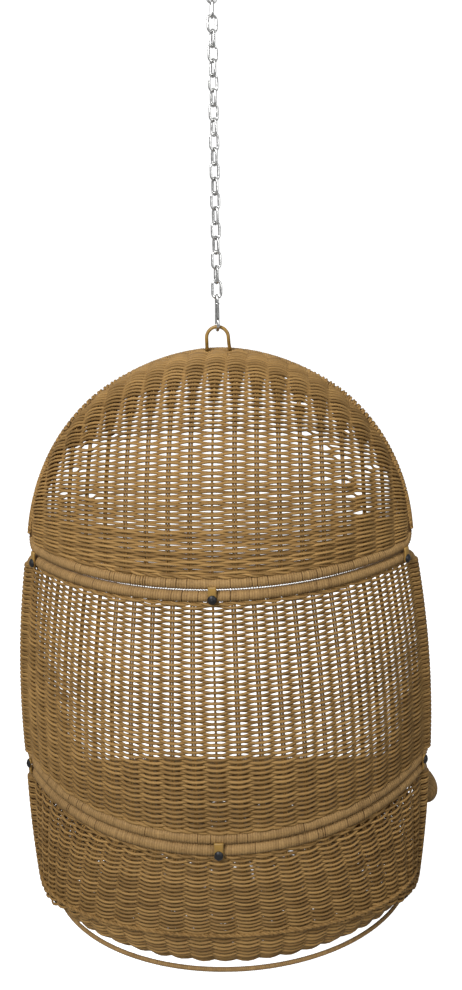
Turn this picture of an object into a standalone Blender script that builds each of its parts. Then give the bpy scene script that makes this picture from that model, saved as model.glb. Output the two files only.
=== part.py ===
"""Hanging egg chair: a woven shell in three bolted sections on wrapped tubes, hung by a welded chain from a ceiling plate.

Metres, +Z up. The origin is the middle of the ceiling plate's top face, the chair hangs below it and faces -Y.
"""

import math

import bmesh
import bpy
from mathutils import Matrix, Vector

# ---- driving dimensions (metres) ------------------------------------------
PLATE_R, PLATE_T = 0.042, 0.005
SCREW_PCD_R = 0.030
EYE_ROD, EYE_R = 0.0070, 0.0130          # ceiling eye: rod diameter, centreline radius
HOOK_WIRE = 0.0060                       # snap hook wire diameter
HOOK_LOW_R, HOOK_TOP_R = 0.0125, 0.0080  # snap hook bows, centreline radii
HOOK_REACH = 0.0690                      # centreline height of a snap hook
HOOK_TURN = math.radians(14.0)           # lower snap hook, turned about the vertical
LINKS = 21
LINK_WIRE, LINK_INNER, LINK_HALF_W = 0.0050, 0.0293, 0.0085
GAP = 0.0003

LOOP_ROD, LOOP_HALF_W, LOOP_H = 0.0070, 0.0215, 0.0470
TUBE_R = 0.0095                          # wrapped frame tube, outside radius
SEAM_HOOD, SEAM_MID = 0.0217, 0.0207     # spacing of the paired tubes at the two seams

ARCH_HALF, ARCH_RISE = 0.3640, 0.3678    # hood arch above the upper seam
ARCH_SQUARE = 1.90                       # how square the arch's shoulders are
ARCH_FRONT, SEAM1_RIM_Y, SEAM1_SAG = -0.0268, 0.0182, 0.1553
SEAM1_DROP = 0.4246                      # upper seam below the loop's top
MID_H = 0.4493                           # middle section, tube centre to tube centre
SEAM2_RIM_Y, SEAM2_SAG = -0.0701, 0.2063
MID_TOP_HALF, LOW_TOP_HALF = 0.3700, 0.4050
SIDE_BOW, SIDE_BOW2 = 0.0820, -0.0440    # how the middle's side tubes bow outwards
LOW_H, LOW_CORNER = 0.2890, 0.060        # bottom section's frame height and corner radius
LOW_TAPER, LOW_TAPER2 = 0.014, 0.019     # how the bottom section's side tubes draw in
BASE_HALF, BASE_DEEP, BASE_FRONT, BASE_Y, BASE_ROD = 0.3893, 0.2320, 0.1300, -0.1779, 0.0070
LIP_HALF, LIP_REACH = 0.4080, 0.2360     # front lip: half width and how far it reaches forward
LIP_X = -0.0080                          # it sits a little to the right
LIP_R, LIP_END_R = 0.0172, 0.0270        # its radius in the middle and at its ends
LIP_DROP, LIP_DIP = 0.0883, 0.1050       # its ends below the bottom section's upper tube, its middle below those
WEAVE_T, BOWL_T = 0.0050, 0.0045
BOLT_R, BOLT_HEAD_R = 0.0030, 0.0080
BOLT_IN = 0.0140                         # side bolts, in from the end of the seam
TAB_W, TAB_T = 0.0240, 0.0030

# ---- derived heights --------------------------------------------------------
HOOK_GRIP_EYE = HOOK_WIRE / 2 + EYE_ROD / 2 + GAP
HOOK_GRIP_LINK = HOOK_WIRE / 2 + LINK_WIRE / 2 + GAP
HOOK_GRIP_LOOP = HOOK_WIRE / 2 + LOOP_ROD / 2 + GAP
LINK_PITCH = LINK_INNER - GAP
LINK_HALF_L = (LINK_INNER + LINK_WIRE) / 2

EYE_Z = -PLATE_T - EYE_R + 0.0010
HOOK_A_TOP = EYE_Z - EYE_R + HOOK_GRIP_EYE
HOOK_A_LOW = HOOK_A_TOP - HOOK_REACH
LINK_TOP_Z = HOOK_A_LOW + HOOK_GRIP_LINK - LINK_HALF_L
LINK_LOW_Z = LINK_TOP_Z - (LINKS - 1) * LINK_PITCH
HOOK_B_TOP = LINK_LOW_Z - LINK_HALF_L + HOOK_GRIP_LINK
HOOK_B_LOW = HOOK_B_TOP - HOOK_REACH
LOOP_TOP = HOOK_B_LOW + HOOK_GRIP_LOOP + LOOP_ROD / 2

Z_SEAM1 = LOOP_TOP - SEAM1_DROP
Z_MID_TOP = Z_SEAM1 - SEAM_HOOD
Z_MID_LOW = Z_MID_TOP - MID_H
Z_LOW_TOP = Z_MID_LOW - SEAM_MID
Z_LOW_BASE = Z_LOW_TOP - LOW_H
Z_BASE = LOOP_TOP - 1.2189
Z_LIP = Z_LOW_TOP - LIP_DROP

# ---- scene ------------------------------------------------------------------
for old in list(bpy.data.objects):
    bpy.data.objects.remove(old, do_unlink=True)

parts = bpy.data.collections.new("hanging_egg_chair")
helpers = bpy.data.collections.new("cutters")
bpy.context.scene.collection.children.link(parts)
bpy.context.scene.collection.children.link(helpers)


def material(name, colour, rough, metal):
    m = bpy.data.materials.new(name)
    m.use_nodes = True
    p = m.node_tree.nodes["Principled BSDF"]
    p.inputs["Base Color"].default_value = (*colour, 1)
    p.inputs["Roughness"].default_value = rough
    p.inputs["Metallic"].default_value = metal
    return m


STRAND = ("strand", (0.42, 0.27, 0.12), 0.55, 0.0)
PAINT = ("tan_paint", (0.47, 0.30, 0.12), 0.40, 0.0)
ZINC = ("zinc", (0.72, 0.72, 0.70), 0.28, 1.0)
BLACK = ("black_bolt", (0.03, 0.03, 0.035), 0.45, 0.6)


def finish(obj, kind):
    obj.data.materials.clear()
    obj.data.materials.append(material(obj.name + "_" + kind[0], *kind[1:]))
    for poly in obj.data.polygons:
        poly.use_smooth = True
    obj.data.set_sharp_from_angle(angle=math.radians(35))
    return obj


def mesh_object(name, mesh, cutter=False):
    obj = bpy.data.objects.new(name, mesh)
    (helpers if cutter else parts).objects.link(obj)
    if cutter:
        obj.hide_render = True
        obj.display_type = "WIRE"
    return obj


def tube(name, points, radius, closed=False, sides=8, cutter=False, scales=None):
    """A round bar along the points, as a welded mesh; scales multiply its radius point by point."""
    data = bpy.data.curves.new(name + "_path", "CURVE")
    data.dimensions = "3D"
    spline = data.splines.new("POLY")
    spline.points.add(len(points) - 1)
    for i, (p, co) in enumerate(zip(spline.points, points)):
        p.co = (*co, 1)
        p.radius = scales[i] if scales else 1.0
    spline.use_cyclic_u = closed
    data.bevel_depth = radius
    data.bevel_resolution = (sides - 4) // 2
    data.use_fill_caps = not closed
    data.twist_mode = "MINIMUM"
    path = bpy.data.objects.new(name + "_path", data)
    helpers.objects.link(path)
    graph = bpy.context.evaluated_depsgraph_get()
    mesh = bpy.data.meshes.new_from_object(path.evaluated_get(graph))
    mesh.name = name
    bpy.data.objects.remove(path, do_unlink=True)
    bm = bmesh.new()
    bm.from_mesh(mesh)
    bmesh.ops.remove_doubles(bm, verts=bm.verts, dist=1e-6)
    bmesh.ops.recalc_face_normals(bm, faces=bm.faces)
    bm.to_mesh(mesh)
    bm.free()
    return mesh_object(name, mesh, cutter)


def cylinder(name, radius, depth, centre, axis, sides=16, cutter=False, top_radius=None):
    bm = bmesh.new()
    bmesh.ops.create_cone(
        bm, cap_ends=True, segments=sides, radius1=radius,
        radius2=radius if top_radius is None else top_radius, depth=depth,
    )
    turn = Vector(axis).normalized().to_track_quat("Z", "Y").to_matrix().to_4x4()
    bm.transform(Matrix.Translation(centre) @ turn)
    mesh = bpy.data.meshes.new(name)
    bm.to_mesh(mesh)
    bm.free()
    return mesh_object(name, mesh, cutter)


def block(name, size, centre, basis=None, cutter=False):
    bm = bmesh.new()
    bmesh.ops.create_cube(bm, size=1.0)
    bm.transform(Matrix.Diagonal((*size, 1)))
    if basis is not None:
        bm.transform(basis.to_4x4())
    bm.transform(Matrix.Translation(centre))
    mesh = bpy.data.meshes.new(name)
    bm.to_mesh(mesh)
    bm.free()
    return mesh_object(name, mesh, cutter)


def boolean(obj, other, operation):
    mod = obj.modifiers.new(operation.lower(), "BOOLEAN")
    mod.operation = operation
    mod.object = other
    mod.solver = "EXACT"
    return mod


def rounded(points, corners, reach, steps=4):
    """A closed run of points with the sharp corner points replaced by short bends."""
    n = len(points)
    out = []
    for i, p in enumerate(points):
        if i not in corners:
            near = any((Vector(p) - Vector(points[c])).length < reach * 1.05 for c in corners)
            if not near:
                out.append(Vector(p))
            continue
        p = Vector(p)

        def along(step):
            left, at, k = reach, p.copy(), i
            while True:
                nxt = Vector(points[(k + step) % n])
                length = (nxt - at).length
                if length >= left:
                    return at + (nxt - at) * (left / length)
                left -= length
                at, k = nxt, k + step

        a, b = along(-1), along(1)
        for s in range(steps + 1):
            t = s / steps
            out.append(a * (1 - t) ** 2 + p * 2 * t * (1 - t) + b * t * t)
    return out


# ---- curves of the shell ----------------------------------------------------
def arc_point(half, sag, rim_y, t):
    """A level circular arc through (-half, rim_y) and (half, rim_y), bulging back by sag; t from -1 to 1."""
    radius = (half * half + sag * sag) / (2 * sag)
    limit = math.asin(half / radius)
    return radius * math.sin(t * limit), rim_y + sag - radius + radius * math.cos(t * limit)


def arch_point(t, inset=0.0):
    """The hood's arch, from t = -1 at the left end over the top to t = 1."""
    a = math.pi / 2 * (1 - t)
    x = (ARCH_HALF - inset) * math.cos(a)
    h = (ARCH_RISE - inset) * max(0.0, 1 - abs(x / (ARCH_HALF - inset)) ** ARCH_SQUARE) ** (1 / 2.2)
    y = SEAM1_RIM_Y + (ARCH_FRONT - SEAM1_RIM_Y) * h / ARCH_RISE
    return Vector((x, y, Z_SEAM1 + h))


def side_point(u):
    """The middle section's side tube: half width, rim y and height; u from 0 at the top to 1."""
    half = MID_TOP_HALF + SIDE_BOW * u + SIDE_BOW2 * u * u
    return half, MID_RIM_Y + (SEAM2_RIM_Y - MID_RIM_Y) * u, Z_MID_TOP - MID_H * u


def widened(half, sag, rim_y, new_half):
    """Sag and rim y of the same arc, taken out to another half width."""
    radius = (half * half + sag * sag) / (2 * sag)
    new_sag = radius - math.sqrt(radius * radius - new_half * new_half)
    return new_sag, rim_y + sag - new_sag


MID_SAG, MID_RIM_Y = widened(ARCH_HALF, SEAM1_SAG, SEAM1_RIM_Y, MID_TOP_HALF)
MID_LOW_HALF = side_point(1.0)[0]
LOW_SAG, LOW_RIM_Y = widened(MID_LOW_HALF, SEAM2_SAG, SEAM2_RIM_Y, LOW_TOP_HALF)


def low_half(z):
    """Half width of the bottom section's side tubes at height z."""
    u = (Z_LOW_TOP - z) / LOW_H
    return LOW_TOP_HALF - LOW_TAPER * u - LOW_TAPER2 * u * u


# ---- frames -------------------------------------------------------------------
def hood_loop():
    arch = [arch_point(-1 + 2 * i / 30) for i in range(31)]
    back = [Vector((*arc_point(ARCH_HALF, SEAM1_SAG, SEAM1_RIM_Y, 1 - 2 * i / 20), Z_SEAM1)) for i in range(1, 20)]
    pts = arch + back
    return rounded(pts, {0, 30}, 0.022)


def middle_loop():
    top = [Vector((*arc_point(MID_TOP_HALF, MID_SAG, MID_RIM_Y, -1 + 2 * i / 20), Z_MID_TOP)) for i in range(21)]
    right = []
    for i in range(1, 9):
        half, y, z = side_point(i / 8)
        right.append(Vector((half, y, z)))
    low = [Vector((*arc_point(MID_LOW_HALF, SEAM2_SAG, SEAM2_RIM_Y, 1 - 2 * i / 20), Z_MID_LOW)) for i in range(1, 21)]
    left = [Vector((-p.x, p.y, p.z)) for p in reversed(right[:-1])]
    pts = top + right + low + left
    return rounded(pts, {0, 20, 28, 48}, 0.022)


def bottom_loop():
    half = low_half(Z_LOW_TOP)
    top = [Vector((*arc_point(half, LOW_SAG, LOW_RIM_Y, -1 + 2 * i / 20), Z_LOW_TOP)) for i in range(21)]
    right = []
    for i in range(1, 7):
        z = Z_LOW_TOP + (Z_LOW_BASE - Z_LOW_TOP) * i / 6
        right.append(Vector((low_half(z), LOW_RIM_Y, z)))
    end = right[-1].x
    low = [Vector((end - 2 * end * i / 8, LOW_RIM_Y, Z_LOW_BASE)) for i in range(1, 9)]
    left = [Vector((-p.x, p.y, p.z)) for p in reversed(right[:-1])]
    pts = top + right + low + left
    pts = rounded(pts, {26, 34}, LOW_CORNER, steps=6)
    sharp = {i for i, p in enumerate(pts) if abs(p.z - Z_LOW_TOP) < 1e-6 and abs(abs(p.x) - half) < 1e-6}
    return rounded(pts, sharp, 0.022)


def seam_place(half, sag, rim_y, x):
    """The point and outward direction of a seam arc at a given x."""
    radius = (half * half + sag * sag) / (2 * sag)
    y = rim_y + sag - radius + math.sqrt(radius * radius - x * x)
    out = Vector((x, y - (rim_y + sag - radius), 0)).normalized()
    return y, out


def bolt_frame(out):
    """Columns: across the tab, along the bolt (outwards), up."""
    up = Vector((0, 0, 1))
    across = out.cross(up).normalized()
    return Matrix((across, out, up)).transposed()


hood_frame = tube("hood_frame", hood_loop(), TUBE_R, closed=True)
middle_frame = tube("middle_frame", middle_loop(), TUBE_R, closed=True)
bottom_frame = tube("bottom_frame", bottom_loop(), TUBE_R, closed=True)

for seam, (upper, lower, half, sag, rim_y, z_up, z_low) in {
    "upper": (hood_frame, middle_frame, ARCH_HALF, SEAM1_SAG, SEAM1_RIM_Y, Z_SEAM1, Z_MID_TOP),
    "lower": (middle_frame, bottom_frame, MID_LOW_HALF, SEAM2_SAG, SEAM2_RIM_Y, Z_MID_LOW, Z_LOW_TOP),
}.items():
    for side, x in (("left", half - BOLT_IN), ("centre", 0.0), ("right", -half + BOLT_IN)):
        y, out = seam_place(half, sag, rim_y, x)
        basis = bolt_frame(out)
        name = f"{seam}_{side}"
        # A tab is welded to the back of one tube and laps over the other, which the bolt goes through.
        # At the sides of the lower seam it stands on the lower tube.
        turned = seam == "lower" and side != "centre"
        holder, bolted = (lower, upper) if turned else (upper, lower)
        z_hold, z_bolt = (z_low, z_up) if turned else (z_up, z_low)
        way = -1 if turned else 1
        z_top, z_end = z_hold + 0.004 * way, z_bolt - 0.0075 * way
        face = TUBE_R + 0.0008
        centre = Vector((x, y, (z_top + z_end) / 2)) + out * (face + TAB_T / 2)
        tab = block("tab_" + name, (TAB_W, TAB_T, abs(z_top - z_end)), centre, basis, cutter=True)
        weld = block(
            "weld_" + name, (TAB_W * 0.8, face + TAB_T * 0.5 - 0.004, 0.007),
            Vector((x, y, z_hold)) + out * (0.004 + (face + TAB_T * 0.5 - 0.004) / 2), basis, cutter=True,
        )
        at = Vector((x, y, z_bolt))
        hole = cylinder("hole_" + name, BOLT_R + 0.0004, 0.060, at, out, sides=12, cutter=True)
        boolean(holder, tab, "UNION")
        boolean(holder, weld, "UNION")
        boolean(holder, hole, "DIFFERENCE")
        boolean(bolted, hole, "DIFFERENCE")
        outer = face + TAB_T + GAP
        inner = -(TUBE_R + 0.0008)
        # domed head, then the shank, then the cap nut on the inside
        head = cylinder(f"bolt_{name}", BOLT_HEAD_R, 0.0016, at + out * (outer + 0.0008), out, sides=16)
        dome = cylinder("dome_" + name, BOLT_HEAD_R - 0.0004, 0.0030, at + out * (outer + 0.0026), out,
                        sides=16, cutter=True, top_radius=BOLT_HEAD_R * 0.45)
        shank_len = outer - inner + 0.0052
        shank = cylinder("shank_" + name, BOLT_R, shank_len, at + out * (outer + 0.0004 - shank_len / 2), out,
                         sides=12, cutter=True)
        boolean(head, dome, "UNION")
        boolean(head, shank, "UNION")
        nut = cylinder(f"nut_{name}", 0.0058, 0.0050, at + out * (inner - 0.0025), out, sides=6)
        bore = cylinder("bore_" + name, BOLT_R + GAP, 0.020, at + out * (inner - 0.0025), out, sides=12, cutter=True)
        boolean(nut, bore, "DIFFERENCE")
        finish(head, BLACK)
        finish(nut, BLACK)
for frame in (hood_frame, middle_frame, bottom_frame):
    finish(frame, STRAND)

# ---- hang loop ------------------------------------------------------------------
loop_points = []
loop_c = LOOP_TOP - LOOP_ROD / 2
foot = arch_point(0.0).z + TUBE_R + GAP
for i in range(9):
    a = math.pi * i / 8
    loop_points.append(Vector((LOOP_HALF_W * math.cos(a), ARCH_FRONT * 0 + 0.0, loop_c - LOOP_HALF_W + LOOP_HALF_W * math.sin(a))))
lean = ARCH_FRONT
loop_points = [Vector((LOOP_HALF_W, 0.55 * lean, foot + 0.0002)), Vector((LOOP_HALF_W, 0.25 * lean, foot + 0.010))] + loop_points
loop_points += [Vector((-LOOP_HALF_W, 0.25 * lean, foot + 0.010)), Vector((-LOOP_HALF_W, 0.55 * lean, foot + 0.0002))]
hang_loop = finish(tube("hang_loop", loop_points, LOOP_ROD / 2), PAINT)

# ---- woven skins ---------------------------------------------------------------
def sheet(name, rows, kind, close_u=False, cap=None, thick=WEAVE_T):
    """A thin closed solid through a grid of points; Solidify gives it its thickness."""
    bm = bmesh.new()
    grid = [[bm.verts.new(p) for p in row] for row in rows]
    for a, b in zip(grid, grid[1:]):
        n = len(a)
        for i in range(n if close_u else n - 1):
            bm.faces.new((a[i], a[(i + 1) % n], b[(i + 1) % n], b[i]))
    if cap is not None:
        tip = bm.verts.new(cap)
        last = grid[-1]
        for i in range(len(last)):
            bm.faces.new((last[i], last[(i + 1) % len(last)], tip))
    bmesh.ops.recalc_face_normals(bm, faces=bm.faces)
    mesh = bpy.data.meshes.new(name)
    bm.to_mesh(mesh)
    bm.free()
    obj = mesh_object(name, mesh)
    mod = obj.modifiers.new("thickness", "SOLIDIFY")
    mod.thickness = thick
    mod.offset = 0.0
    return finish(obj, kind)


def hood_surface(x, v, inset):
    """The hood's skin in the plane of one upright: v = 0 at the seam, 1 at the arch."""
    half, rise = ARCH_HALF - inset, ARCH_RISE - inset
    h = rise * max(0.0, 1 - abs(x / half) ** ARCH_SQUARE) ** (1 / 2.2)
    y_top = SEAM1_RIM_Y + (ARCH_FRONT - SEAM1_RIM_Y) * h / ARCH_RISE
    y_low, _ = seam_place(ARCH_HALF, SEAM1_SAG, SEAM1_RIM_Y, x)
    low = inset * 0.9
    a = v * math.pi / 2
    return Vector((x, y_top + (y_low - y_top) * math.cos(a) ** 0.9, Z_SEAM1 + low + (h - low) * math.sin(a)))


CLEAR = TUBE_R + WEAVE_T / 2 + 0.0010
rows = []
for j in range(9):
    v = j / 8
    row = []
    for i in range(19):
        x = (ARCH_HALF - CLEAR) * 0.975 * math.sin(math.pi / 2 * (-1 + 2 * i / 18))
        row.append(hood_surface(x, v, CLEAR))
    rows.append(row)
sheet("hood_weave", rows, STRAND)

rows = []
for j in range(9):
    u = (CLEAR + (MID_H - 2 * CLEAR) * j / 8) / MID_H
    half, rim_y, z = side_point(u)
    sag = MID_SAG + (SEAM2_SAG - MID_SAG) * u + 0.010 * 4 * u * (1 - u)
    row = []
    for i in range(19):
        t = -1 + 2 * i / 18
        x, y = arc_point(half, sag, rim_y, t * (1 - 1.15 * CLEAR / half))
        row.append(Vector((x, y, z)))
    rows.append(row)
sheet("middle_weave", rows, STRAND)


def bowl_ring(half, sag, rim_y, front, z_back, z_side, z_front, roundness, rise=1.0, n=44):
    """One level of the seat bowl: an arc behind, half an ellipse in front that dips like the lip."""
    ring = []
    for i in range(n):
        a = 2 * math.pi * i / n
        s, c = math.sin(a), math.cos(a)
        if c >= -1e-9:
            t = math.asin(s) / (math.pi / 2)
            ax, ay = arc_point(half, sag, rim_y, t)
            ex, ey = half * s, rim_y + sag * c
            x, y = ax + (ex - ax) * roundness, ay + (ey - ay) * roundness
            z = z_side + (z_back - z_side) * min(1.0, max(0.0, c) * rise)
        else:
            x, y = half * s, rim_y + front * c
            z = z_side + (z_front - z_side) * (-c) ** LIP_BEND
        ring.append(Vector((x, y, z)))
    return ring


def level(below):
    return LOOP_TOP - below


LIP_BEND = 1.6
top_z = Z_LOW_TOP - TUBE_R - 0.0015
rim = LOW_TOP_HALF - TUBE_R - 0.0040
lip_side = Z_LIP - LIP_END_R - 0.0045
lip_front = Z_LIP - LIP_DIP - LIP_R - 0.0045
rows = [
    bowl_ring(rim - 0.006, SEAM2_SAG - 0.001, SEAM2_RIM_Y, 0.230, top_z, lip_side, lip_front, 0.15, rise=7),
    bowl_ring(rim - 0.012, SEAM2_SAG - 0.012, SEAM2_RIM_Y + 0.002, 0.228, top_z - 0.060, lip_side - 0.025, lip_front - 0.010, 0.4, rise=3),
    bowl_ring(rim - 0.020, SEAM2_SAG - 0.026, SEAM2_RIM_Y + 0.004, 0.224, top_z - 0.120, lip_side - 0.054, lip_front - 0.020, 0.7, rise=2),
    bowl_ring(0.3660, 0.1650, -0.0700, 0.214, level(1.1000), level(1.1250), level(1.1650), 1.0),
    bowl_ring(0.3560, 0.1570, -0.0850, 0.194, level(1.1500), level(1.1550), level(1.1720), 1.0),
    bowl_ring(0.3450, 0.1750, -0.1250, 0.144, level(1.2085), level(1.1820), level(1.1800), 1.0),
    bowl_ring(0.2900, 0.0900, -0.1500, 0.090, level(1.1880), level(1.1880), level(1.1880), 1.0),
    bowl_ring(0.1500, 0.0500, -0.1500, 0.045, level(1.1880), level(1.1880), level(1.1880), 1.0),
]
sheet("bottom_weave", rows, STRAND, close_u=True, cap=Vector((0, -0.1500, level(1.1880))), thick=BOWL_T)

# ---- base hoop and front lip ----------------------------------------------------
hoop = []
for i in range(48):
    a = 2 * math.pi * i / 48
    deep = BASE_DEEP if math.cos(a) > 0 else BASE_FRONT
    hoop.append(Vector((BASE_HALF * math.sin(a), BASE_Y + deep * math.cos(a), Z_BASE)))
finish(tube("base_hoop", hoop, BASE_ROD / 2, closed=True), STRAND)

# The lip sweeps forward and dips in the middle; its ends are rounded over.
LIP_BACK = SEAM2_RIM_Y - TUBE_R - 0.0300
lip, lip_scales = [], []
for i in range(29):
    a = -math.pi / 2 + math.pi * i / 28
    c = max(0.0, math.cos(a))
    lip.append(Vector((LIP_X + LIP_HALF * math.sin(a), LIP_BACK - (LIP_REACH - 0.0395) * c, Z_LIP - LIP_DIP * c**LIP_BEND)))
    lip_scales.append((LIP_END_R + (LIP_R - LIP_END_R) * min(1.0, c * 1.5)) / LIP_R)
for step, scale in ((0.0100, 0.93), (0.0180, 0.70), (0.0225, 0.42), (0.0240, 0.12)):
    lip.insert(0, Vector((LIP_X - LIP_HALF, LIP_BACK + step, Z_LIP)))
    lip.append(Vector((LIP_X + LIP_HALF, LIP_BACK + step, Z_LIP)))
    lip_scales.insert(0, scale * LIP_END_R / LIP_R)
    lip_scales.append(scale * LIP_END_R / LIP_R)
finish(tube("front_lip", lip, LIP_R, scales=lip_scales), STRAND)


# ---- chain ----------------------------------------------------------------------
def ring_link(name, z, turned):
    pts = []
    for end in (1, -1):
        for i in range(7):
            a = math.pi * i / 6
            w = LINK_HALF_W * math.cos(a) * end
            h = (LINK_HALF_L - LINK_HALF_W + LINK_HALF_W * math.sin(a)) * end
            pts.append(Vector((0, w, z + h)) if turned else Vector((w, 0, z + h)))
    return finish(tube(name, pts, LINK_WIRE / 2, closed=True, sides=6), ZINC)


for k in range(LINKS):
    ring_link(f"chain_link_{k + 1:02d}", LINK_TOP_Z - k * LINK_PITCH, turned=(LINKS - 1 - k) % 2 == 1)


# ---- snap hooks ---------------------------------------------------------------------
def snap_hook(prefix, z_low, turn):
    """Pear-shaped snap hook in the plane of Y and Z, with its gate on the +Y side, then turned about the vertical."""
    r, w = HOOK_WIRE / 2, HOOK_REACH
    low_c, top_c = z_low + HOOK_LOW_R, z_low + w - HOOK_TOP_R
    lean = math.asin((HOOK_LOW_R - HOOK_TOP_R) / (top_c - low_c))
    cos, sin = math.cos(lean), math.sin(lean)
    low_tan = Vector((0, HOOK_LOW_R * cos, low_c + HOOK_LOW_R * sin))
    top_tan = Vector((0, HOOK_TOP_R * cos, top_c + HOOK_TOP_R * sin))
    down = (low_tan - top_tan).normalized()
    hinge = top_tan + down * 0.0090
    nose = low_tan - down * 0.0080
    path = [top_tan + down * 0.0030]
    for i in range(9):
        a = lean + (math.pi - 2 * lean) * i / 8
        path.append(Vector((0, HOOK_TOP_R * math.cos(a), top_c + HOOK_TOP_R * math.sin(a))))
    for i in range(11):
        a = math.pi - lean + (math.pi + 2 * lean) * i / 10
        path.append(Vector((0, HOOK_LOW_R * math.cos(a), low_c + HOOK_LOW_R * math.sin(a))))
    path.append(nose)
    body = tube(prefix + "_body", path, r)
    tilt = Matrix((Vector((1, 0, 0)), down.cross(Vector((1, 0, 0))) * -1, -down)).transposed()
    tongue = block(prefix + "_tongue", (0.0022, 0.0044, 0.0105), top_tan + down * 0.0065, tilt, cutter=True)
    pin_hole = cylinder(prefix + "_pin_hole", 0.0013, 0.020, hinge, (1, 0, 0), sides=12, cutter=True)
    boolean(body, tongue, "UNION")
    boolean(body, pin_hole, "DIFFERENCE")
    start, stop = hinge - down * 0.0030, nose - down * 0.0006
    gate = cylinder(prefix + "_gate", 0.0029, (stop - start).length, (start + stop) / 2, -down, sides=10)
    slot = block(prefix + "_slot", (0.0030, 0.0100, 0.0075), hinge - down * 0.0002, tilt, cutter=True)
    boolean(gate, slot, "DIFFERENCE")
    boolean(gate, pin_hole, "DIFFERENCE")
    pin = cylinder(prefix + "_pin", 0.0010, 0.0066, hinge, (1, 0, 0), sides=10)
    spin = Matrix.Rotation(turn, 4, "Z")
    for obj in (body, gate, pin, tongue, pin_hole, slot):
        obj.data.transform(spin)
    for obj in (body, gate, pin):
        finish(obj, ZINC)
    return hinge, down


snap_hook("upper_hook", HOOK_A_LOW, 0.0)
snap_hook("lower_hook", HOOK_B_LOW, HOOK_TURN)

# ---- ceiling plate ----------------------------------------------------------------
plate = cylinder("ceiling_plate", PLATE_R, PLATE_T, Vector((0, 0, -PLATE_T / 2)), (0, 0, 1), sides=36)
eye = []
for i in range(18):
    a = 2 * math.pi * i / 18
    eye.append(Vector((EYE_R * math.cos(a), 0, EYE_Z + EYE_R * math.sin(a))))
eye_ring = tube("eye_ring", eye, EYE_ROD / 2, closed=True, cutter=True)
boolean(plate, eye_ring, "UNION")
trim = block("flush_cut", (0.1, 0.1, 0.02), Vector((0, 0, 0.01)), cutter=True)
boolean(plate, trim, "DIFFERENCE")
for i in range(4):
    a = math.pi / 4 + i * math.pi / 2
    at = Vector((SCREW_PCD_R * math.cos(a), SCREW_PCD_R * math.sin(a), 0))
    hole = cylinder(f"plate_hole_{i + 1}", 0.0024, 0.03, at, (0, 0, 1), sides=12, cutter=True)
    boolean(plate, hole, "DIFFERENCE")
    screw = cylinder(f"ceiling_screw_{i + 1}", 0.0046, 0.0022, at + Vector((0, 0, -PLATE_T - GAP - 0.0011)), (0, 0, 1), sides=14)
    shank = cylinder(f"screw_shank_{i + 1}", 0.0020, 0.034, at + Vector((0, 0, -PLATE_T - GAP - 0.0005 + 0.017)), (0, 0, 1), sides=10, cutter=True)
    boolean(screw, shank, "UNION")
    finish(screw, ZINC)
finish(plate, ZINC)

# ---- pivots -------------------------------------------------------------------------
def pivot(obj, at):
    """Puts the object's origin on the axis that the piece turns about."""
    at = Vector(at)
    obj.data.transform(Matrix.Translation(-at))
    obj.location = at


def gate_hinge(z_low, turn):
    low_c, top_c = z_low + HOOK_LOW_R, z_low + HOOK_REACH - HOOK_TOP_R
    lean = math.asin((HOOK_LOW_R - HOOK_TOP_R) / (top_c - low_c))
    low = Vector((0, HOOK_LOW_R * math.cos(lean), low_c + HOOK_LOW_R * math.sin(lean)))
    top = Vector((0, HOOK_TOP_R * math.cos(lean), top_c + HOOK_TOP_R * math.sin(lean)))
    return Matrix.Rotation(turn, 3, "Z") @ (top + (low - top).normalized() * 0.0090)


for obj in list(parts.objects):
    name = obj.name
    if name.startswith("ceiling"):
        continue
    if name.endswith("_gate"):
        upper_one = name.startswith("upper")
        pivot(obj, gate_hinge(HOOK_A_LOW if upper_one else HOOK_B_LOW, 0.0 if upper_one else HOOK_TURN))
    elif name.startswith("upper_hook"):
        pivot(obj, (0, 0, EYE_Z - EYE_R))
    elif name.startswith("lower_hook"):
        pivot(obj, (0, 0, LINK_LOW_Z - LINK_HALF_L))
    elif name.startswith("chain_link"):
        k = int(name[-2:])
        pivot(obj, (0, 0, LINK_TOP_Z - (k - 2) * LINK_PITCH - LINK_HALF_L if k > 1 else HOOK_A_LOW))
    else:
        pivot(obj, (0, 0, HOOK_B_LOW))
bpy.context.view_layer.update()
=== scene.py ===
import math

import bmesh
import bpy
import numpy as np
from mathutils import Matrix, Vector


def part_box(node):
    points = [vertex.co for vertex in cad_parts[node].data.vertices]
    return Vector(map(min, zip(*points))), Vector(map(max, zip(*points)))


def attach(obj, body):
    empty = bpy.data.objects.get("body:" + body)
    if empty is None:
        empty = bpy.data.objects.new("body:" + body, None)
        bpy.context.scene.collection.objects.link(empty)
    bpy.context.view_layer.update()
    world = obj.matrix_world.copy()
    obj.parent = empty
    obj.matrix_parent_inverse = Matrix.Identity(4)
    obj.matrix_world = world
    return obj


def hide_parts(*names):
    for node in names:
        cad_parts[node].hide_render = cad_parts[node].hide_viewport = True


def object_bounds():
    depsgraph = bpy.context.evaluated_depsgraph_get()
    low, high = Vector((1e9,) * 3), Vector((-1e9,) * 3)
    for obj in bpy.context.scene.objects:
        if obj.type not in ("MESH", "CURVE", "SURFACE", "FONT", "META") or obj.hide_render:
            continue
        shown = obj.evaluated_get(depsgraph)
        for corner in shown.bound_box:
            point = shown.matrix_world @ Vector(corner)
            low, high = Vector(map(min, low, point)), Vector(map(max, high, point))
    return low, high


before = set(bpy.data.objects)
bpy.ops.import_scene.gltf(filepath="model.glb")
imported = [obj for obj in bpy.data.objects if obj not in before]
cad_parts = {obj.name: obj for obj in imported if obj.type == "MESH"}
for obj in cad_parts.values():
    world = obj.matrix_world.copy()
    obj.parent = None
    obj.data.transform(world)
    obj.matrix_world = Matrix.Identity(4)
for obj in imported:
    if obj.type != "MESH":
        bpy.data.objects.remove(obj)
cad_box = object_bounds()
rng = np.random.default_rng(11)

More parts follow.
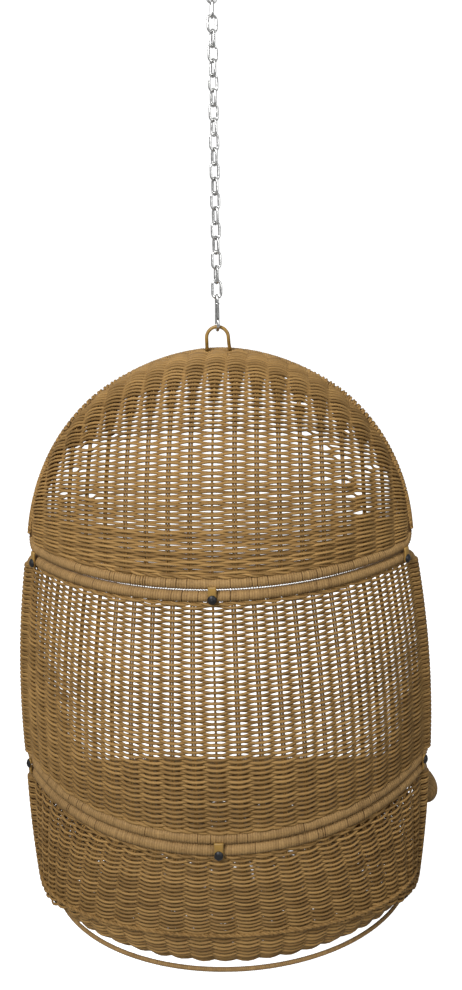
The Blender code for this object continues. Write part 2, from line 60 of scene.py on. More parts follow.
# ---- the model's own dimensions, in metres -----------------------------------------
TOP = float(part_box("hang_loop")[1][2])              # top of the hang loop
TUBE_R = 0.0095
ARCH_HALF, ARCH_RISE, ARCH_SQUARE = 0.3640, 0.3678, 1.90
ARCH_FRONT, RIM1, SAG1 = -0.0268, 0.0182, 0.1553
MID_TOP_HALF, LOW_TOP_HALF = 0.3700, 0.4050
BOW, BOW2 = 0.0820, -0.0440
RIM2, SAG2 = -0.0701, 0.2063
Z1 = TOP - 0.4246
ZM_TOP = Z1 - 0.0217
MID_H = 0.4493
ZM_LOW = ZM_TOP - MID_H
Z_LOW = ZM_LOW - 0.0207
LOW_H, CORNER = 0.2890, 0.060
Z_FOOT = Z_LOW - LOW_H
TAPER, TAPER2 = 0.014, 0.019
Z_LIP = Z_LOW - 0.0883
LIP_X, LIP_HALF, LIP_REACH, LIP_DIP, LIP_BEND = -0.0080, 0.4080, 0.2360, 0.1050, 1.6
LIP_R, LIP_END_R = 0.0172, 0.0270
STRAND_R = 0.00235
PITCH = 0.00480
STAKE_GAP = 0.0390


def widened(half, sag, rim, new_half):
    radius = (half * half + sag * sag) / (2 * sag)
    new_sag = radius - math.sqrt(radius * radius - new_half * new_half)
    return new_sag, rim + sag - new_sag


MID_SAG, MID_RIM = widened(ARCH_HALF, SAG1, RIM1, MID_TOP_HALF)
MID_LOW_HALF = MID_TOP_HALF + BOW + BOW2
LOW_SAG, LOW_RIM = widened(MID_LOW_HALF, SAG2, RIM2, LOW_TOP_HALF)


# ---- materials ------------------------------------------------------------------------
def new_material(name):
    m = bpy.data.materials.new(name)
    m.use_nodes = True
    tree = m.node_tree
    return m, tree, tree.nodes["Principled BSDF"]


def node(tree, kind, **inputs):
    n = tree.nodes.new(kind)
    for key, value in inputs.items():
        n.inputs[key.replace("_", " ")].default_value = value
    return n


def stretched_noise(tree, scale, stretch, detail=3.0):
    coord = tree.nodes.new("ShaderNodeTexCoord")
    mapping = tree.nodes.new("ShaderNodeMapping")
    mapping.inputs["Scale"].default_value = stretch
    noise = tree.nodes.new("ShaderNodeTexNoise")
    noise.inputs["Scale"].default_value = scale
    noise.inputs["Detail"].default_value = detail
    tree.links.new(coord.outputs["Object"], mapping.inputs["Vector"])
    tree.links.new(mapping.outputs["Vector"], noise.inputs["Vector"])
    return noise


def ramp(tree, source, stops):
    r = tree.nodes.new("ShaderNodeValToRGB")
    while len(r.color_ramp.elements) < len(stops):
        r.color_ramp.elements.new(0.5)
    for e, (at, colour) in zip(r.color_ramp.elements, stops):
        e.position = at
        e.color = (*colour, 1)
    tree.links.new(source, r.inputs["Fac"])
    return r


def strand_material(name, light, dark, grain=(8.0, 8.0, 260.0)):
    """Extruded resin strand: tone changes from strand to strand, fine lengthwise grain, satin."""
    m, tree, p = new_material(name)
    tone = tree.nodes.new("ShaderNodeAttribute")
    tone.attribute_name = "tone"
    patch = stretched_noise(tree, 9.0, (1, 1, 1), 2.0)
    fine = stretched_noise(tree, 6.0, grain, 3.0)
    add = tree.nodes.new("ShaderNodeMath"); add.operation = "ADD"
    tree.links.new(tone.outputs["Fac"], add.inputs[0])
    half = tree.nodes.new("ShaderNodeMath"); half.operation = "MULTIPLY_ADD"
    half.inputs[1].default_value = 0.55; half.inputs[2].default_value = -0.275
    tree.links.new(fine.outputs["Fac"], half.inputs[0])
    tree.links.new(half.outputs[0], add.inputs[1])
    add2 = tree.nodes.new("ShaderNodeMath"); add2.operation = "MULTIPLY_ADD"
    add2.inputs[1].default_value = 0.30
    tree.links.new(patch.outputs["Fac"], add2.inputs[0])
    tree.links.new(add.outputs[0], add2.inputs[2])
    colour = ramp(tree, add2.outputs[0], [(0.12, dark), (0.62, tuple(0.62 * a + 0.38 * b for a, b in zip(light, dark))), (0.98, light)])
    tree.links.new(colour.outputs["Color"], p.inputs["Base Color"])
    rough = tree.nodes.new("ShaderNodeMapRange")
    rough.inputs["To Min"].default_value = 0.42; rough.inputs["To Max"].default_value = 0.62
    tree.links.new(fine.outputs["Fac"], rough.inputs["Value"])
    tree.links.new(rough.outputs["Result"], p.inputs["Roughness"])
    p.inputs["Specular IOR Level"].default_value = 0.12
    bump = tree.nodes.new("ShaderNodeBump")
    bump.inputs["Strength"].default_value = 0.25
    bump.inputs["Distance"].default_value = 0.0004
    tree.links.new(fine.outputs["Fac"], bump.inputs["Height"])
    tree.links.new(bump.outputs["Normal"], p.inputs["Normal"])
    return m


def smooth_material(name, colour, metal, rough, spread=0.12, scale=40.0, bump_size=0.0001):
    m, tree, p = new_material(name)
    noise = stretched_noise(tree, scale, (1, 1, 1), 4.0)
    dark = tuple(c * (1 - spread) for c in colour)
    light = tuple(min(1, c * (1 + spread)) for c in colour)
    r = ramp(tree, noise.outputs["Fac"], [(0.35, dark), (0.65, light)])
    tree.links.new(r.outputs["Color"], p.inputs["Base Color"])
    p.inputs["Metallic"].default_value = metal
    mr = tree.nodes.new("ShaderNodeMapRange")
    mr.inputs["To Min"].default_value = rough * 0.8; mr.inputs["To Max"].default_value = rough * 1.25
    tree.links.new(noise.outputs["Fac"], mr.inputs["Value"])
    tree.links.new(mr.outputs["Result"], p.inputs["Roughness"])
    bump = tree.nodes.new("ShaderNodeBump")
    bump.inputs["Strength"].default_value = 0.3
    bump.inputs["Distance"].default_value = bump_size
    tree.links.new(noise.outputs["Fac"], bump.inputs["Height"])
    tree.links.new(bump.outputs["Normal"], p.inputs["Normal"])
    return m


TAN = strand_material("resin_strand", (0.500, 0.298, 0.106), (0.085, 0.040, 0.011))
WRAP = strand_material("resin_wrap", (0.530, 0.330, 0.135), (0.090, 0.046, 0.016), grain=(60.0, 60.0, 60.0))
PAINT = smooth_material("tan_paint", (0.40, 0.235, 0.058), 0.0, 0.42, 0.10, 60.0)
ZINC = smooth_material("zinc_plate", (0.62, 0.62, 0.61), 1.0, 0.20, 0.30, 160.0)
BLACK = smooth_material("black_steel", (0.022, 0.022, 0.024), 0.5, 0.42, 0.25, 200.0)


# ---- mesh making ---------------------------------------------------------------------------
def make_object(name, chunks, mats, body, smooth=True):
    """One object from chunks of (verts, quads, material index, tone per vertex)."""
    verts, faces, mat_index, tones, base = [], [], [], [], 0
    for v, f, mi, tone in chunks:
        verts.append(v); faces.append(f + base); mat_index.append(np.full(len(f), mi, np.int32))
        tones.append(np.broadcast_to(np.asarray(tone, np.float32), (len(v),)))
        base += len(v)
    v = np.concatenate(verts).astype(np.float32)
    f = np.concatenate(faces).astype(np.int32)
    mesh = bpy.data.meshes.new(name)
    mesh.vertices.add(len(v)); mesh.vertices.foreach_set("co", v.ravel())
    mesh.loops.add(len(f) * 4); mesh.loops.foreach_set("vertex_index", f.ravel())
    mesh.polygons.add(len(f))
    mesh.polygons.foreach_set("loop_start", np.arange(0, len(f) * 4, 4, dtype=np.int32))
    mesh.polygons.foreach_set("loop_total", np.full(len(f), 4, np.int32))
    mesh.update(calc_edges=True)
    mesh.polygons.foreach_set("material_index", np.concatenate(mat_index))
    mesh.polygons.foreach_set("use_smooth", np.ones(len(f), bool) if smooth else np.zeros(len(f), bool))
    attribute = mesh.attributes.new("tone", "FLOAT", "POINT")
    attribute.data.foreach_set("value", np.concatenate(tones).astype(np.float32))
    mesh.validate()
    for m in mats:
        mesh.materials.append(m)
    obj = bpy.data.objects.new(name, mesh)
    bpy.context.scene.collection.objects.link(obj)
    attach(obj, body)
    return obj


def unit(v):
    return v / np.maximum(np.linalg.norm(v, axis=-1, keepdims=True), 1e-12)


def strands(P, N, radius, sides=5, closed=False, tone=None):
    """Round strands along P (K, n, 3), with N (K, n, 3) as the side that faces out. Returns verts and quads."""
    P = np.asarray(P, float)
    N = np.broadcast_to(np.asarray(N, float), P.shape)
    K, n, _ = P.shape
    if closed:
        T = np.roll(P, -1, 1) - np.roll(P, 1, 1)
    else:
        T = np.gradient(P, axis=1)
    T = unit(T)
    B = unit(np.cross(T, N))
    M = np.cross(B, T)
    radius = np.broadcast_to(np.asarray(radius, float), (K, n))
    a = 2 * math.pi * np.arange(sides) / sides + math.pi / sides
    ring = P[:, :, None] + radius[:, :, None, None] * (
        np.cos(a)[None, None, :, None] * M[:, :, None] + np.sin(a)[None, None, :, None] * B[:, :, None])
    verts = ring.reshape(-1, 3)
    idx = np.arange(K * n * sides).reshape(K, n, sides)
    nxt = np.roll(idx, -1, 2)
    if closed:
        a0, a1, b0, b1 = idx, nxt, np.roll(idx, -1, 1), np.roll(nxt, -1, 1)
    else:
        a0, a1, b0, b1 = idx[:, :-1], nxt[:, :-1], idx[:, 1:], nxt[:, 1:]
    quads = np.stack([a0, b0, b1, a1], -1).reshape(-1, 4)
    if tone is None:
        tone = rng.uniform(0.32, 0.68, K)
    tones = np.repeat(np.broadcast_to(np.asarray(tone, float), (K,)), n * sides)
    if not closed:
        # each end is closed by a fan of quads round a middle point
        mid = np.concatenate([P[:, 0] - 0.3 * radius[:, 0, None] * T[:, 0], P[:, -1] + 0.3 * radius[:, -1, None] * T[:, -1]])
        m0 = K * n * sides + np.arange(K)
        m1 = m0 + K
        caps = []
        if sides % 2 == 0:
            for s in range(0, sides, 2):
                caps.append(np.stack([m0, idx[:, 0, s], idx[:, 0, (s + 1) % sides], idx[:, 0, (s + 2) % sides]], -1))
                caps.append(np.stack([m1, idx[:, -1, (s + 2) % sides], idx[:, -1, (s + 1) % sides], idx[:, -1, s]], -1))
            verts = np.concatenate([verts, mid])
            tones = np.concatenate([tones, np.full(2 * K, 0.3)])
            quads = np.concatenate([quads] + caps)
    return verts, quads, tones


def add(chunks, P, N, radius, mat=0, **k):
    v, f, t = strands(P, N, radius, **k)
    chunks.append((v, f, mat, t))


def arc(half, sag, rim, t):
    """Points of a level arc from (-half, rim) to (half, rim) that bulges back by sag, with its outward directions."""
    radius = (half * half + sag * sag) / (2 * sag)
    limit = np.arcsin(np.clip(half / radius, -1, 1))
    a = t * limit
    return radius * np.sin(a), rim + sag - radius + radius * np.cos(a), np.sin(a), np.cos(a)


def resample(points, step, closed=False):
    pts = np.asarray(points, float)
    if closed:
        pts = np.concatenate([pts, pts[:1]])
    seg = np.linalg.norm(np.diff(pts, axis=0), axis=1)
    keep = np.concatenate([[True], seg > 1e-9])
    pts, seg = pts[keep], seg[seg > 1e-9]
    s = np.concatenate([[0], np.cumsum(seg)])
    count = max(4, int(round(s[-1] / step)))
    if closed:
        count -= count % 4
        at = np.linspace(0, s[-1], count, endpoint=False)
    else:
        at = np.linspace(0, s[-1], count)
    return np.stack([np.interp(at, s, pts[:, i]) for i in range(3)], 1), at


def smooth_path(pts, closed, times=6):
    pts = np.array(pts, float)
    for _ in range(times):
        if closed:
            pts = 0.5 * pts + 0.25 * (np.roll(pts, 1, 0) + np.roll(pts, -1, 0))
        else:
            pts[1:-1] = 0.5 * pts[1:-1] + 0.25 * (pts[:-2] + pts[2:])
    return pts


def frames_along(P, closed):
    T = unit(np.roll(P, -1, 0) - np.roll(P, 1, 0)) if closed else unit(np.gradient(P, axis=0))
    N = np.zeros_like(P)
    n = np.cross(T[0], (0.3, 0.9, 0.2)); n /= np.linalg.norm(n)
    for i in range(len(P)):
        n = n - T[i] * (n @ T[i]); n /= np.linalg.norm(n)
        N[i] = n
    if closed:
        turn = math.atan2(np.dot(np.cross(N[-1], N[0]), T[0]), np.dot(N[-1], N[0]))
        a = turn * np.arange(len(P)) / len(P)
        N = N * np.cos(a)[:, None] + np.cross(T, N) * np.sin(a)[:, None]
    return T, N


def coil(chunks, points, radius, wrap=0.0046, closed=False, sides=12, depth=0.00085, mat=1, per=4, gaps=0.06, painted_shade=None):
    """A bar wrapped by a strand: one low ridge for each turn, a crease between turns, a slightly different lay each time."""
    P, at = resample(points, wrap / per, closed)
    P = smooth_path(P, closed, 3)
    T, N = frames_along(P, closed)
    B = np.cross(T, N)
    n = len(P)
    turn = np.arange(n) // per
    turns = turn.max() + 1
    shape = np.array([0.0, 0.80, 1.0, 0.80])[:per][np.arange(n) % per]
    lay = rng.normal(0, 0.10, turns)[turn]
    loose = (rng.random(turns) < gaps)[turn] & (np.arange(n) % per == 0)
    base = np.interp(at, np.linspace(0, at[-1], len(radius)), radius) if np.ndim(radius) else np.full(n, radius)
    r = base - depth + depth * shape * (1 + lay) - 0.0008 * loose
    if np.ndim(radius):
        r = np.where(base < 0.004, base, r)
    a = 2 * math.pi * np.arange(sides) / sides
    # the wrap lies a little aslant
    slant = 0.00045 * np.cos(a + 0.7)[None, :] + 0.0003 * rng.normal(0, 1, turns)[turn][:, None] * np.cos(a)[None, :]
    ring = P[:, None] + r[:, None, None] * (np.cos(a)[None, :, None] * N[:, None] + np.sin(a)[None, :, None] * B[:, None])
    ring = ring + slant[:, :, None] * T[:, None]
    verts = ring.reshape(-1, 3)
    idx = np.arange(n * sides).reshape(n, sides)
    nxt = np.roll(idx, -1, 1)
    if closed:
        quads = np.stack([idx, np.roll(idx, -1, 0), np.roll(nxt, -1, 0), nxt], -1).reshape(-1, 4)
    else:
        quads = np.stack([idx[:-1], idx[1:], nxt[1:], nxt[:-1]], -1).reshape(-1, 4)
    quads = quads[:, [0, 3, 2, 1]]
    # painted shade: the ring of points in the crease between turns gets a darker tone, and a loose turn's gap a darker
    # one still
    tone = np.clip(rng.normal(0.52, 0.05, turns), 0, 1)[turn] - (0.22 + 0.5 * loose) * (np.arange(n) % per == 0)
    # painted shade: the tone is lowered where the mask marks the tube as lying in shade under the weave
    if painted_shade is not None:
        tone = tone - painted_shade(P)
    tones = np.repeat(tone, sides)
    if not closed:
        verts = np.concatenate([verts, P[:1], P[-1:]])
        tones = np.concatenate([tones, [0.4, 0.4]])
        m0, m1 = n * sides, n * sides + 1
        caps = []
        for s in range(0, sides, 2):
            caps.append([m0, idx[0, s], idx[0, (s + 1) % sides], idx[0, (s + 2) % sides]])
            caps.append([m1, idx[-1, (s + 2) % sides], idx[-1, (s + 1) % sides], idx[-1, s]])
        quads = np.concatenate([quads, np.array(caps)])
    chunks.append((verts, quads, mat, tones))


def rope(chunks, points, spread, radius, twist=0.030, closed=False, count=2, mat=0, step=0.004, flat=None):
    """Strands laid round each other along a path."""
    P, at = resample(points, step, closed)
    T, N = frames_along(P, closed)
    B = np.cross(T, N)
    total = at[-1] + (np.linalg.norm(P[0] - P[-1]) if closed else 0)
    turns = max(1, round(total / twist))
    for k in range(count):
        a = 2 * math.pi * (turns * at / total + k / count)
        Q = P + spread * (np.cos(a)[:, None] * N + np.sin(a)[:, None] * B)
        add(chunks, Q[None], N[None], radius, mat, sides=6, closed=closed)


# ---- paths of the frame tubes ------------------------------------------------------------------
def arch_h(x, inset=0.0):
    half, rise = ARCH_HALF - inset, ARCH_RISE - inset
    return rise * np.maximum(0.0, 1 - np.abs(x / half) ** ARCH_SQUARE) ** (1 / 2.2)


def arch_pt(t):
    x = ARCH_HALF * np.sin(np.pi / 2 * t)
    h = arch_h(x)
    return np.stack([x, RIM1 + (ARCH_FRONT - RIM1) * h / ARCH_RISE, Z1 + h], -1)


def side_pt(u):
    return MID_TOP_HALF + BOW * u + BOW2 * u * u, MID_RIM + (RIM2 - MID_RIM) * u, ZM_TOP - MID_H * u


def low_half(z):
    u = (Z_LOW - z) / LOW_H
    return LOW_TOP_HALF - TAPER * u - TAPER2 * u * u


def rounded(pts, corners, reach, steps=6):
    pts = [np.array(p, float) for p in pts]
    n, out = len(pts), []
    for i, p in enumerate(pts):
        if i not in corners:
            if min(np.linalg.norm(p - pts[c]) for c in corners) >= reach * 1.05:
                out.append(p)
            continue

        def along(step):
            left, at, k = reach, p.copy(), i
            while True:
                nx = pts[(k + step) % n]
                d = np.linalg.norm(nx - at)
                if d >= left:
                    return at + (nx - at) * left / d
                left -= d; at, k = nx, k + step

        a, b = along(-1), along(1)
        for s in range(steps + 1):
            t = s / steps
            out.append(a * (1 - t) ** 2 + p * 2 * t * (1 - t) + b * t * t)
    return np.array(out)


def arc_path(half, sag, rim, z, t):
    x, y, _, _ = arc(half, sag, rim, np.asarray(t, float))
    return np.stack([x, y, np.full_like(x, z)], -1)


arch_path = arch_pt(np.linspace(-1, 1, 61))
hood_path = rounded(list(arch_path) + list(arc_path(ARCH_HALF, SAG1, RIM1, Z1, np.linspace(1, -1, 41)[1:-1])), {0, 60}, 0.022)
sides_u = np.linspace(0, 1, 17)[1:]
sp = np.stack(side_pt(sides_u), -1)
top = arc_path(MID_TOP_HALF, MID_SAG, MID_RIM, ZM_TOP, np.linspace(-1, 1, 41))
low = arc_path(MID_LOW_HALF, SAG2, RIM2, ZM_LOW, np.linspace(1, -1, 41))[1:]
left = sp[::-1][1:] * (-1, 1, 1)
mid_path = rounded(list(top) + list(sp) + list(low) + list(left), {0, 40, 56, 96}, 0.022)
top = arc_path(LOW_TOP_HALF, LOW_SAG, LOW_RIM, Z_LOW, np.linspace(-1, 1, 41))
zs = np.linspace(Z_LOW, Z_FOOT, 13)[1:]
right = np.stack([low_half(zs), np.full(12, LOW_RIM), zs], -1)
bar = np.stack([np.linspace(right[-1][0], -right[-1][0], 17)[1:], np.full(16, LOW_RIM), np.full(16, Z_FOOT)], -1)
left = right[::-1][1:] * (-1, 1, 1)
low_path = rounded(list(top) + list(right) + list(bar) + list(left), {52, 68}, CORNER, 8)
ends = {i for i, p in enumerate(low_path) if abs(p[2] - Z_LOW) < 1e-6 and abs(abs(p[0]) - LOW_TOP_HALF) < 1e-6}
low_path = rounded(list(low_path), ends, 0.022)


def low_tube_x(z):
    """Centre of the bottom frame's side tube at a height, through its rounded corner."""
    part = low_path[(low_path[:, 0] > 0.2) & (np.abs(low_path[:, 1] - LOW_RIM) < 0.004)]
    part = part[np.argsort(part[:, 2])]
    return np.interp(z, part[:, 2], part[:, 0])


# ---- wrapped frames ---------------------------------------------------------------------------------
def tab_and_weld(chunks, seam_half, sag, rim, x, z_hold, z_bolt, wide=0.0240):
    """The painted plate that laps from one tube over the other, bent and rounded at its end."""
    radius = (seam_half ** 2 + sag ** 2) / (2 * sag)
    cy = rim + sag - radius
    y = cy + math.sqrt(radius ** 2 - x * x)
    out = np.array([x, y - cy, 0.0]); out /= np.linalg.norm(out)
    across = np.cross(out, (0, 0, 1.0)); across /= np.linalg.norm(across)
    way = 1 if z_hold > z_bolt else -1
    z_a, z_b = z_hold - (0.0010 if wide < 0.0180 else -0.0030) * way, z_bolt - 0.0088 * way
    face = TUBE_R + 0.0004
    rows = 15
    s = np.linspace(0, 1, rows)
    zz = z_a + (z_b - z_a) * s
    # plate outline: rounded far end
    left_over = np.abs(z_b - zz)
    half = np.where(left_over < 0.006, wide / 2 - 0.006 + np.sqrt(np.maximum(0, 0.006 ** 2 - (0.006 - left_over) ** 2)), wide / 2)
    half = np.maximum(half, wide / 2 - 0.0058)
    lift = face + 0.0003 - 0.0012 * np.exp(-(((zz - z_a) / 0.004) ** 2))
    across_steps = np.linspace(-1, 1, 7)
    verts, quads = [], []
    for side, off in ((0, 0.0), (1, 0.0032)):
        for i in range(rows):
            for c in across_steps:
                edge = 0.0006 * (abs(c) > 0.99) * (1 if side else 0)
                verts.append(np.array([x, y, zz[i]]) + across * half[i] * c + out * (lift[i] + off - edge))
    m = len(across_steps)
    gid = lambda side, i, j: side * rows * m + i * m + j
    for i in range(rows - 1):
        for j in range(m - 1):
            quads.append([gid(1, i, j), gid(1, i, j + 1), gid(1, i + 1, j + 1), gid(1, i + 1, j)])
            quads.append([gid(0, i, j), gid(0, i + 1, j), gid(0, i + 1, j + 1), gid(0, i, j + 1)])
        quads.append([gid(0, i, 0), gid(1, i, 0), gid(1, i + 1, 0), gid(0, i + 1, 0)])
        quads.append([gid(0, i, m - 1), gid(0, i + 1, m - 1), gid(1, i + 1, m - 1), gid(1, i, m - 1)])
    for j in range(m - 1):
        quads.append([gid(0, 0, j), gid(0, 0, j + 1), gid(1, 0, j + 1), gid(1, 0, j)])
        quads.append([gid(0, rows - 1, j), gid(1, rows - 1, j), gid(1, rows - 1, j + 1), gid(0, rows - 1, j + 1)])
    chunks.append((np.array(verts), np.array(quads), 2, 0.5))


BOLT_IN = 0.0140
frame_chunks = {"hood": [], "middle": [], "bottom": []}
# painted shade: the tube's wrap is given a darker tone where the weave is laid over it and only its gaps show the tube,
# for the shade that falls under the weave
coil(frame_chunks["hood"], hood_path, TUBE_R, closed=True, gaps=0.12, painted_shade=lambda p: 0.8 * ((p[:, 2] > Z1 + 0.020) & (np.abs(p[:, 0]) > 0.75 * ARCH_HALF)))
coil(frame_chunks["middle"], mid_path, TUBE_R, closed=True, painted_shade=lambda p: 0.8 * ((p[:, 2] < ZM_TOP - 0.020) & (p[:, 2] > ZM_LOW + 0.020) & (np.abs(p[:, 0]) > 0.3)))
coil(frame_chunks["bottom"], low_path, TUBE_R, closed=True, painted_shade=lambda p: 0.8 * (p[:, 2] < Z_LOW - 0.020))
for x in (ARCH_HALF - BOLT_IN, 0.0, -ARCH_HALF + BOLT_IN):
    tab_and_weld(frame_chunks["hood"], ARCH_HALF, SAG1, RIM1, x, Z1, ZM_TOP, 0.0145 if x == 0 else 0.0125)
tab_and_weld(frame_chunks["middle"], MID_LOW_HALF, SAG2, RIM2, 0.0, ZM_LOW, Z_LOW, 0.0170)
for x in (MID_LOW_HALF - BOLT_IN, -MID_LOW_HALF + BOLT_IN):
    tab_and_weld(frame_chunks["bottom"], MID_LOW_HALF, SAG2, RIM2, x, Z_LOW, ZM_LOW, 0.0125)
for key, cad in (("hood", "hood_frame"), ("middle", "middle_frame"), ("bottom", "bottom_frame")):
    o = make_object(key + "_frame_wrapped", frame_chunks[key], [TAN, WRAP, PAINT], "chair")
    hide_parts(cad)


# ---- woven skins --------------------------------------------------------------------------------------
def smooth_noise(rows, cols, size, amount):
    """Low random offsets over a grid, smoothed by a few passes."""
    g = rng.normal(0, 1, (rows, cols))
    for _ in range(size):
        g = (g + np.roll(g, 1, 0) + np.roll(g, -1, 0) + np.roll(g, 1, 1) + np.roll(g, -1, 1)) / 5
    g /= max(g.std(), 1e-9)
    return g * amount


def wrap_over(centre, T, N, start, radius, steps=7, end=-75):
    """Points of a strand that passes over the outside of a tube and round it: (K, steps, 3) and their outward sides."""
    a = np.radians(np.linspace(88, end, steps))
    side = np.cos(a)[None, :, None] * T[:, None] + np.sin(a)[None, :, None] * N[:, None]
    return centre[:, None] + radius * side, side


# hood: each upright lies in a plane of constant x and runs from the seam up and over to the arch
HX = np.linspace(-ARCH_HALF, ARCH_HALF, 161)
HA = np.linspace(0, np.pi / 2, 120)


def hood_profile(x, a):
    h = arch_h(x)
    y_top = RIM1 + (ARCH_FRONT - RIM1) * h / ARCH_RISE
    radius = (ARCH_HALF ** 2 + SAG1 ** 2) / (2 * SAG1)
    y_low = RIM1 + SAG1 - radius + np.sqrt(np.maximum(radius ** 2 - x * x, 0))
    return np.stack([x + 0 * a, y_top + (y_low - y_top) * np.maximum(np.cos(a), 0) ** 0.9, Z1 + h * np.sin(a)], -1)


grid = hood_profile(HX[:, None], HA[None, :])
seg = np.linalg.norm(np.diff(grid, axis=1), axis=2)
cum = np.concatenate([np.zeros((len(HX), 1)), np.cumsum(seg, 1)], 1)
HL = cum[:, -1]
FR = np.linspace(0, 1, 100)
A_OF = np.stack([np.interp(FR, c / max(c[-1], 1e-9), HA) for c in cum])
L0 = HL.max()


def hood_at(x, d):
    """The hood's point at distance d up its upright in the plane of x, and the outward side."""
    fx = (x - HX[0]) / (HX[1] - HX[0])
    i = np.clip(fx.astype(int), 0, len(HX) - 2); wx = fx - i
    length = HL[i] * (1 - wx) + HL[i + 1] * wx
    f = np.clip(d / np.maximum(length, 1e-6), 0, 1) * (len(FR) - 1)
    j = np.clip(f.astype(int), 0, len(FR) - 2); wf = f - j
    a = (A_OF[i, j] * (1 - wf) + A_OF[i, j + 1] * wf) * (1 - wx) + (A_OF[i + 1, j] * (1 - wf) + A_OF[i + 1, j + 1] * wf) * wx
    p = hood_profile(x, a)
    e = 1e-3
    pa = hood_profile(x, np.minimum(a + e, np.pi / 2)) - hood_profile(x, np.maximum(a - e, 0))
    px = hood_profile(np.clip(x + e, -ARCH_HALF, ARCH_HALF), a) - hood_profile(np.clip(x - e, -ARCH_HALF, ARCH_HALF), a)
    nrm = unit(np.cross(pa, px))
    centre = np.array([0, -0.05, Z1 + 0.05])
    flip = np.sign(np.sum(nrm * (p - centre), -1, keepdims=True))
    return p, nrm * np.where(flip == 0, 1, flip)


def hood_length(x):
    return np.interp(x, HX, HL)


BEND = 0.50
hood_chunks = []
LOWEST = TUBE_R + 0.0040
s_list, s = [], LOWEST
while s < L0 - 0.010:
    s_list.append(s)
    s += PITCH * (0.92 if s < 0.085 else 1.02 if s < L0 - 0.205 else 0.88)
s_rows = np.array(s_list)
K = len(s_rows)
POINTS = 119


def reach(s, x):
    return s * ((1 - BEND) + BEND * np.minimum(1, hood_length(x) / L0))


xs = np.linspace(0, ARCH_HALF * 0.9995, 1600)
x_end = []
for s in s_rows:
    gap = hood_length(xs) - reach(s, xs)
    bad = np.where(gap < 0.004)[0]
    x_end.append(xs[bad[0]] if len(bad) else xs[-1])
x_end = np.array(x_end)
jit = smooth_noise(K, 22, 2, 0.00040)
t = np.linspace(-1, 1, POINTS)
X = x_end[:, None] * np.sin(np.pi / 2 * t)[None, :]
X = 0.55 * X + 0.45 * x_end[:, None] * t[None, :]
kappa = X / STAKE_GAP
alt = np.cos(np.pi * (kappa + np.arange(K)[:, None]))
soft = alt * (1.12 - 0.12 * alt ** 2)
D = np.array([reach(s, X[i]) for i, s in enumerate(s_rows)])
D = D + 0.42 * PITCH * soft
D += np.array([np.interp(X[i] / ARCH_HALF, np.linspace(-1, 1, 22), jit[i]) for i in range(K)])
# a few wider openings where neighbouring rows have been pushed apart
for hx, hs, amount in ((0.235, 0.215, 0.0034), (0.262, 0.170, 0.0026), (0.222, 0.130, 0.0030), (0.190, 0.245, 0.0022), (0.262, 0.245, 0.0024),
                       (-0.160, 0.300, 0.0026), (-0.205, 0.215, 0.0034), (-0.225, 0.190, 0.0028), (-0.235, 0.150, 0.0034),
                       (-0.255, 0.120, 0.0030), (-0.170, 0.240, 0.0026), (-0.290, 0.160, 0.0026), (-0.245, 0.235, 0.0022),
                       (-0.130, 0.355, 0.0022), (-0.265, 0.090, 0.0030), (0.285, 0.120, 0.0022), (-0.195, 0.160, 0.0026)):
    near = np.exp(-(((X - hx) / 0.012) ** 2) - ((D - hs) / 0.016) ** 2)
    D += amount * near * np.sign(D - hs)
limit = hood_length(X)
D = np.minimum(D, limit - 0.001)
P, N = hood_at(X, D)
depth = 0.0042
P = P + N * (depth * soft + 0.0010)[..., None]
# the ends go over the arch's tube and round it
ends_out = []
for sign in (-1, 1):
    xe = sign * x_end
    h = arch_h(xe)
    C = np.stack([xe, RIM1 + (ARCH_FRONT - RIM1) * h / ARCH_RISE, Z1 + h], -1)
    last = P[:, 0] if sign < 0 else P[:, -1]
    nn = N[:, 0] if sign < 0 else N[:, -1]
    e = 0.002
    h2 = arch_h(np.clip(xe + e, -ARCH_HALF, ARCH_HALF)) - arch_h(np.clip(xe - e, -ARCH_HALF, ARCH_HALF))
    axis = unit(np.stack([np.full_like(xe, 2 * e), -(RIM1 - ARCH_FRONT) * h2 / ARCH_RISE, h2], -1))
    nn = unit(nn - axis * np.sum(nn * axis, -1, keepdims=True))
    back = unit(np.stack([0 * xe, np.ones_like(xe), 0 * xe], -1) * 0.8 + nn * 0.6)
    back = unit(back - axis * np.sum(back * axis, -1, keepdims=True))
    out = np.cross(axis, back)
    away = C - np.array([0, 0, Z1])
    out = out * np.sign(np.sum(out * away, -1, keepdims=True))
    pair = ((np.arange(K) % 2) * -2 + 1)[:, None] * 0.00080 * np.sign(axis[:, 2:])
    steep = np.clip((np.abs(axis[:, 2]) - 0.30) / 0.35, 0, 1)
    around = TUBE_R * 0.55 + (TUBE_R * 0.45 + STRAND_R * 0.9) * steep
    Q, S = wrap_over(C + axis * pair, out, back, last, around[:, None, None], 7, -80)
    ends_out.append((Q, S))
QL, SL = ends_out[0]
QR, SR = ends_out[1]
P = np.concatenate([QL[:, ::-1], P, QR], 1)
N = np.concatenate([SL[:, ::-1], N, SR], 1)
P[:, 7:-7] = P[:, 7:-7]
for _ in range(1):
    P[:, 1:-1] = 0.6 * P[:, 1:-1] + 0.2 * (P[:, :-2] + P[:, 2:])
row_r = STRAND_R * np.interp(s_rows, [0.0, 0.080, 0.120, L0 - 0.240, L0 - 0.165], [1.00, 1.02, 1.05, 1.08, 1.16])
add(hood_chunks, P, N, row_r[:, None], sides=6)


def uprights(chunks, place, ks, count, radius=0.0021, apart=0.0046, dips=0.0):
    """Upright strands, in pairs except the middle one. place(k, v) gives points and outward sides."""
    for k in ks:
        p, n = place(k, np.linspace(0, 1, count))
        tan = unit(np.gradient(p, axis=0))
        side = unit(np.cross(tan, n))
        offs = (0.0,) if k == 0 else (-apart / 2, apart / 2)
        for o in offs:
            add(chunks, (p + side * o)[None], n[None], radius, sides=6, tone=[rng.uniform(0.35, 0.6)])


def hood_upright(k, v):
    x = np.full_like(v, k * STAKE_GAP)
    return hood_at(x, v * (hood_length(x) - 0.001))


uprights(hood_chunks, hood_upright, [k for k in range(-9, 10)], 44)
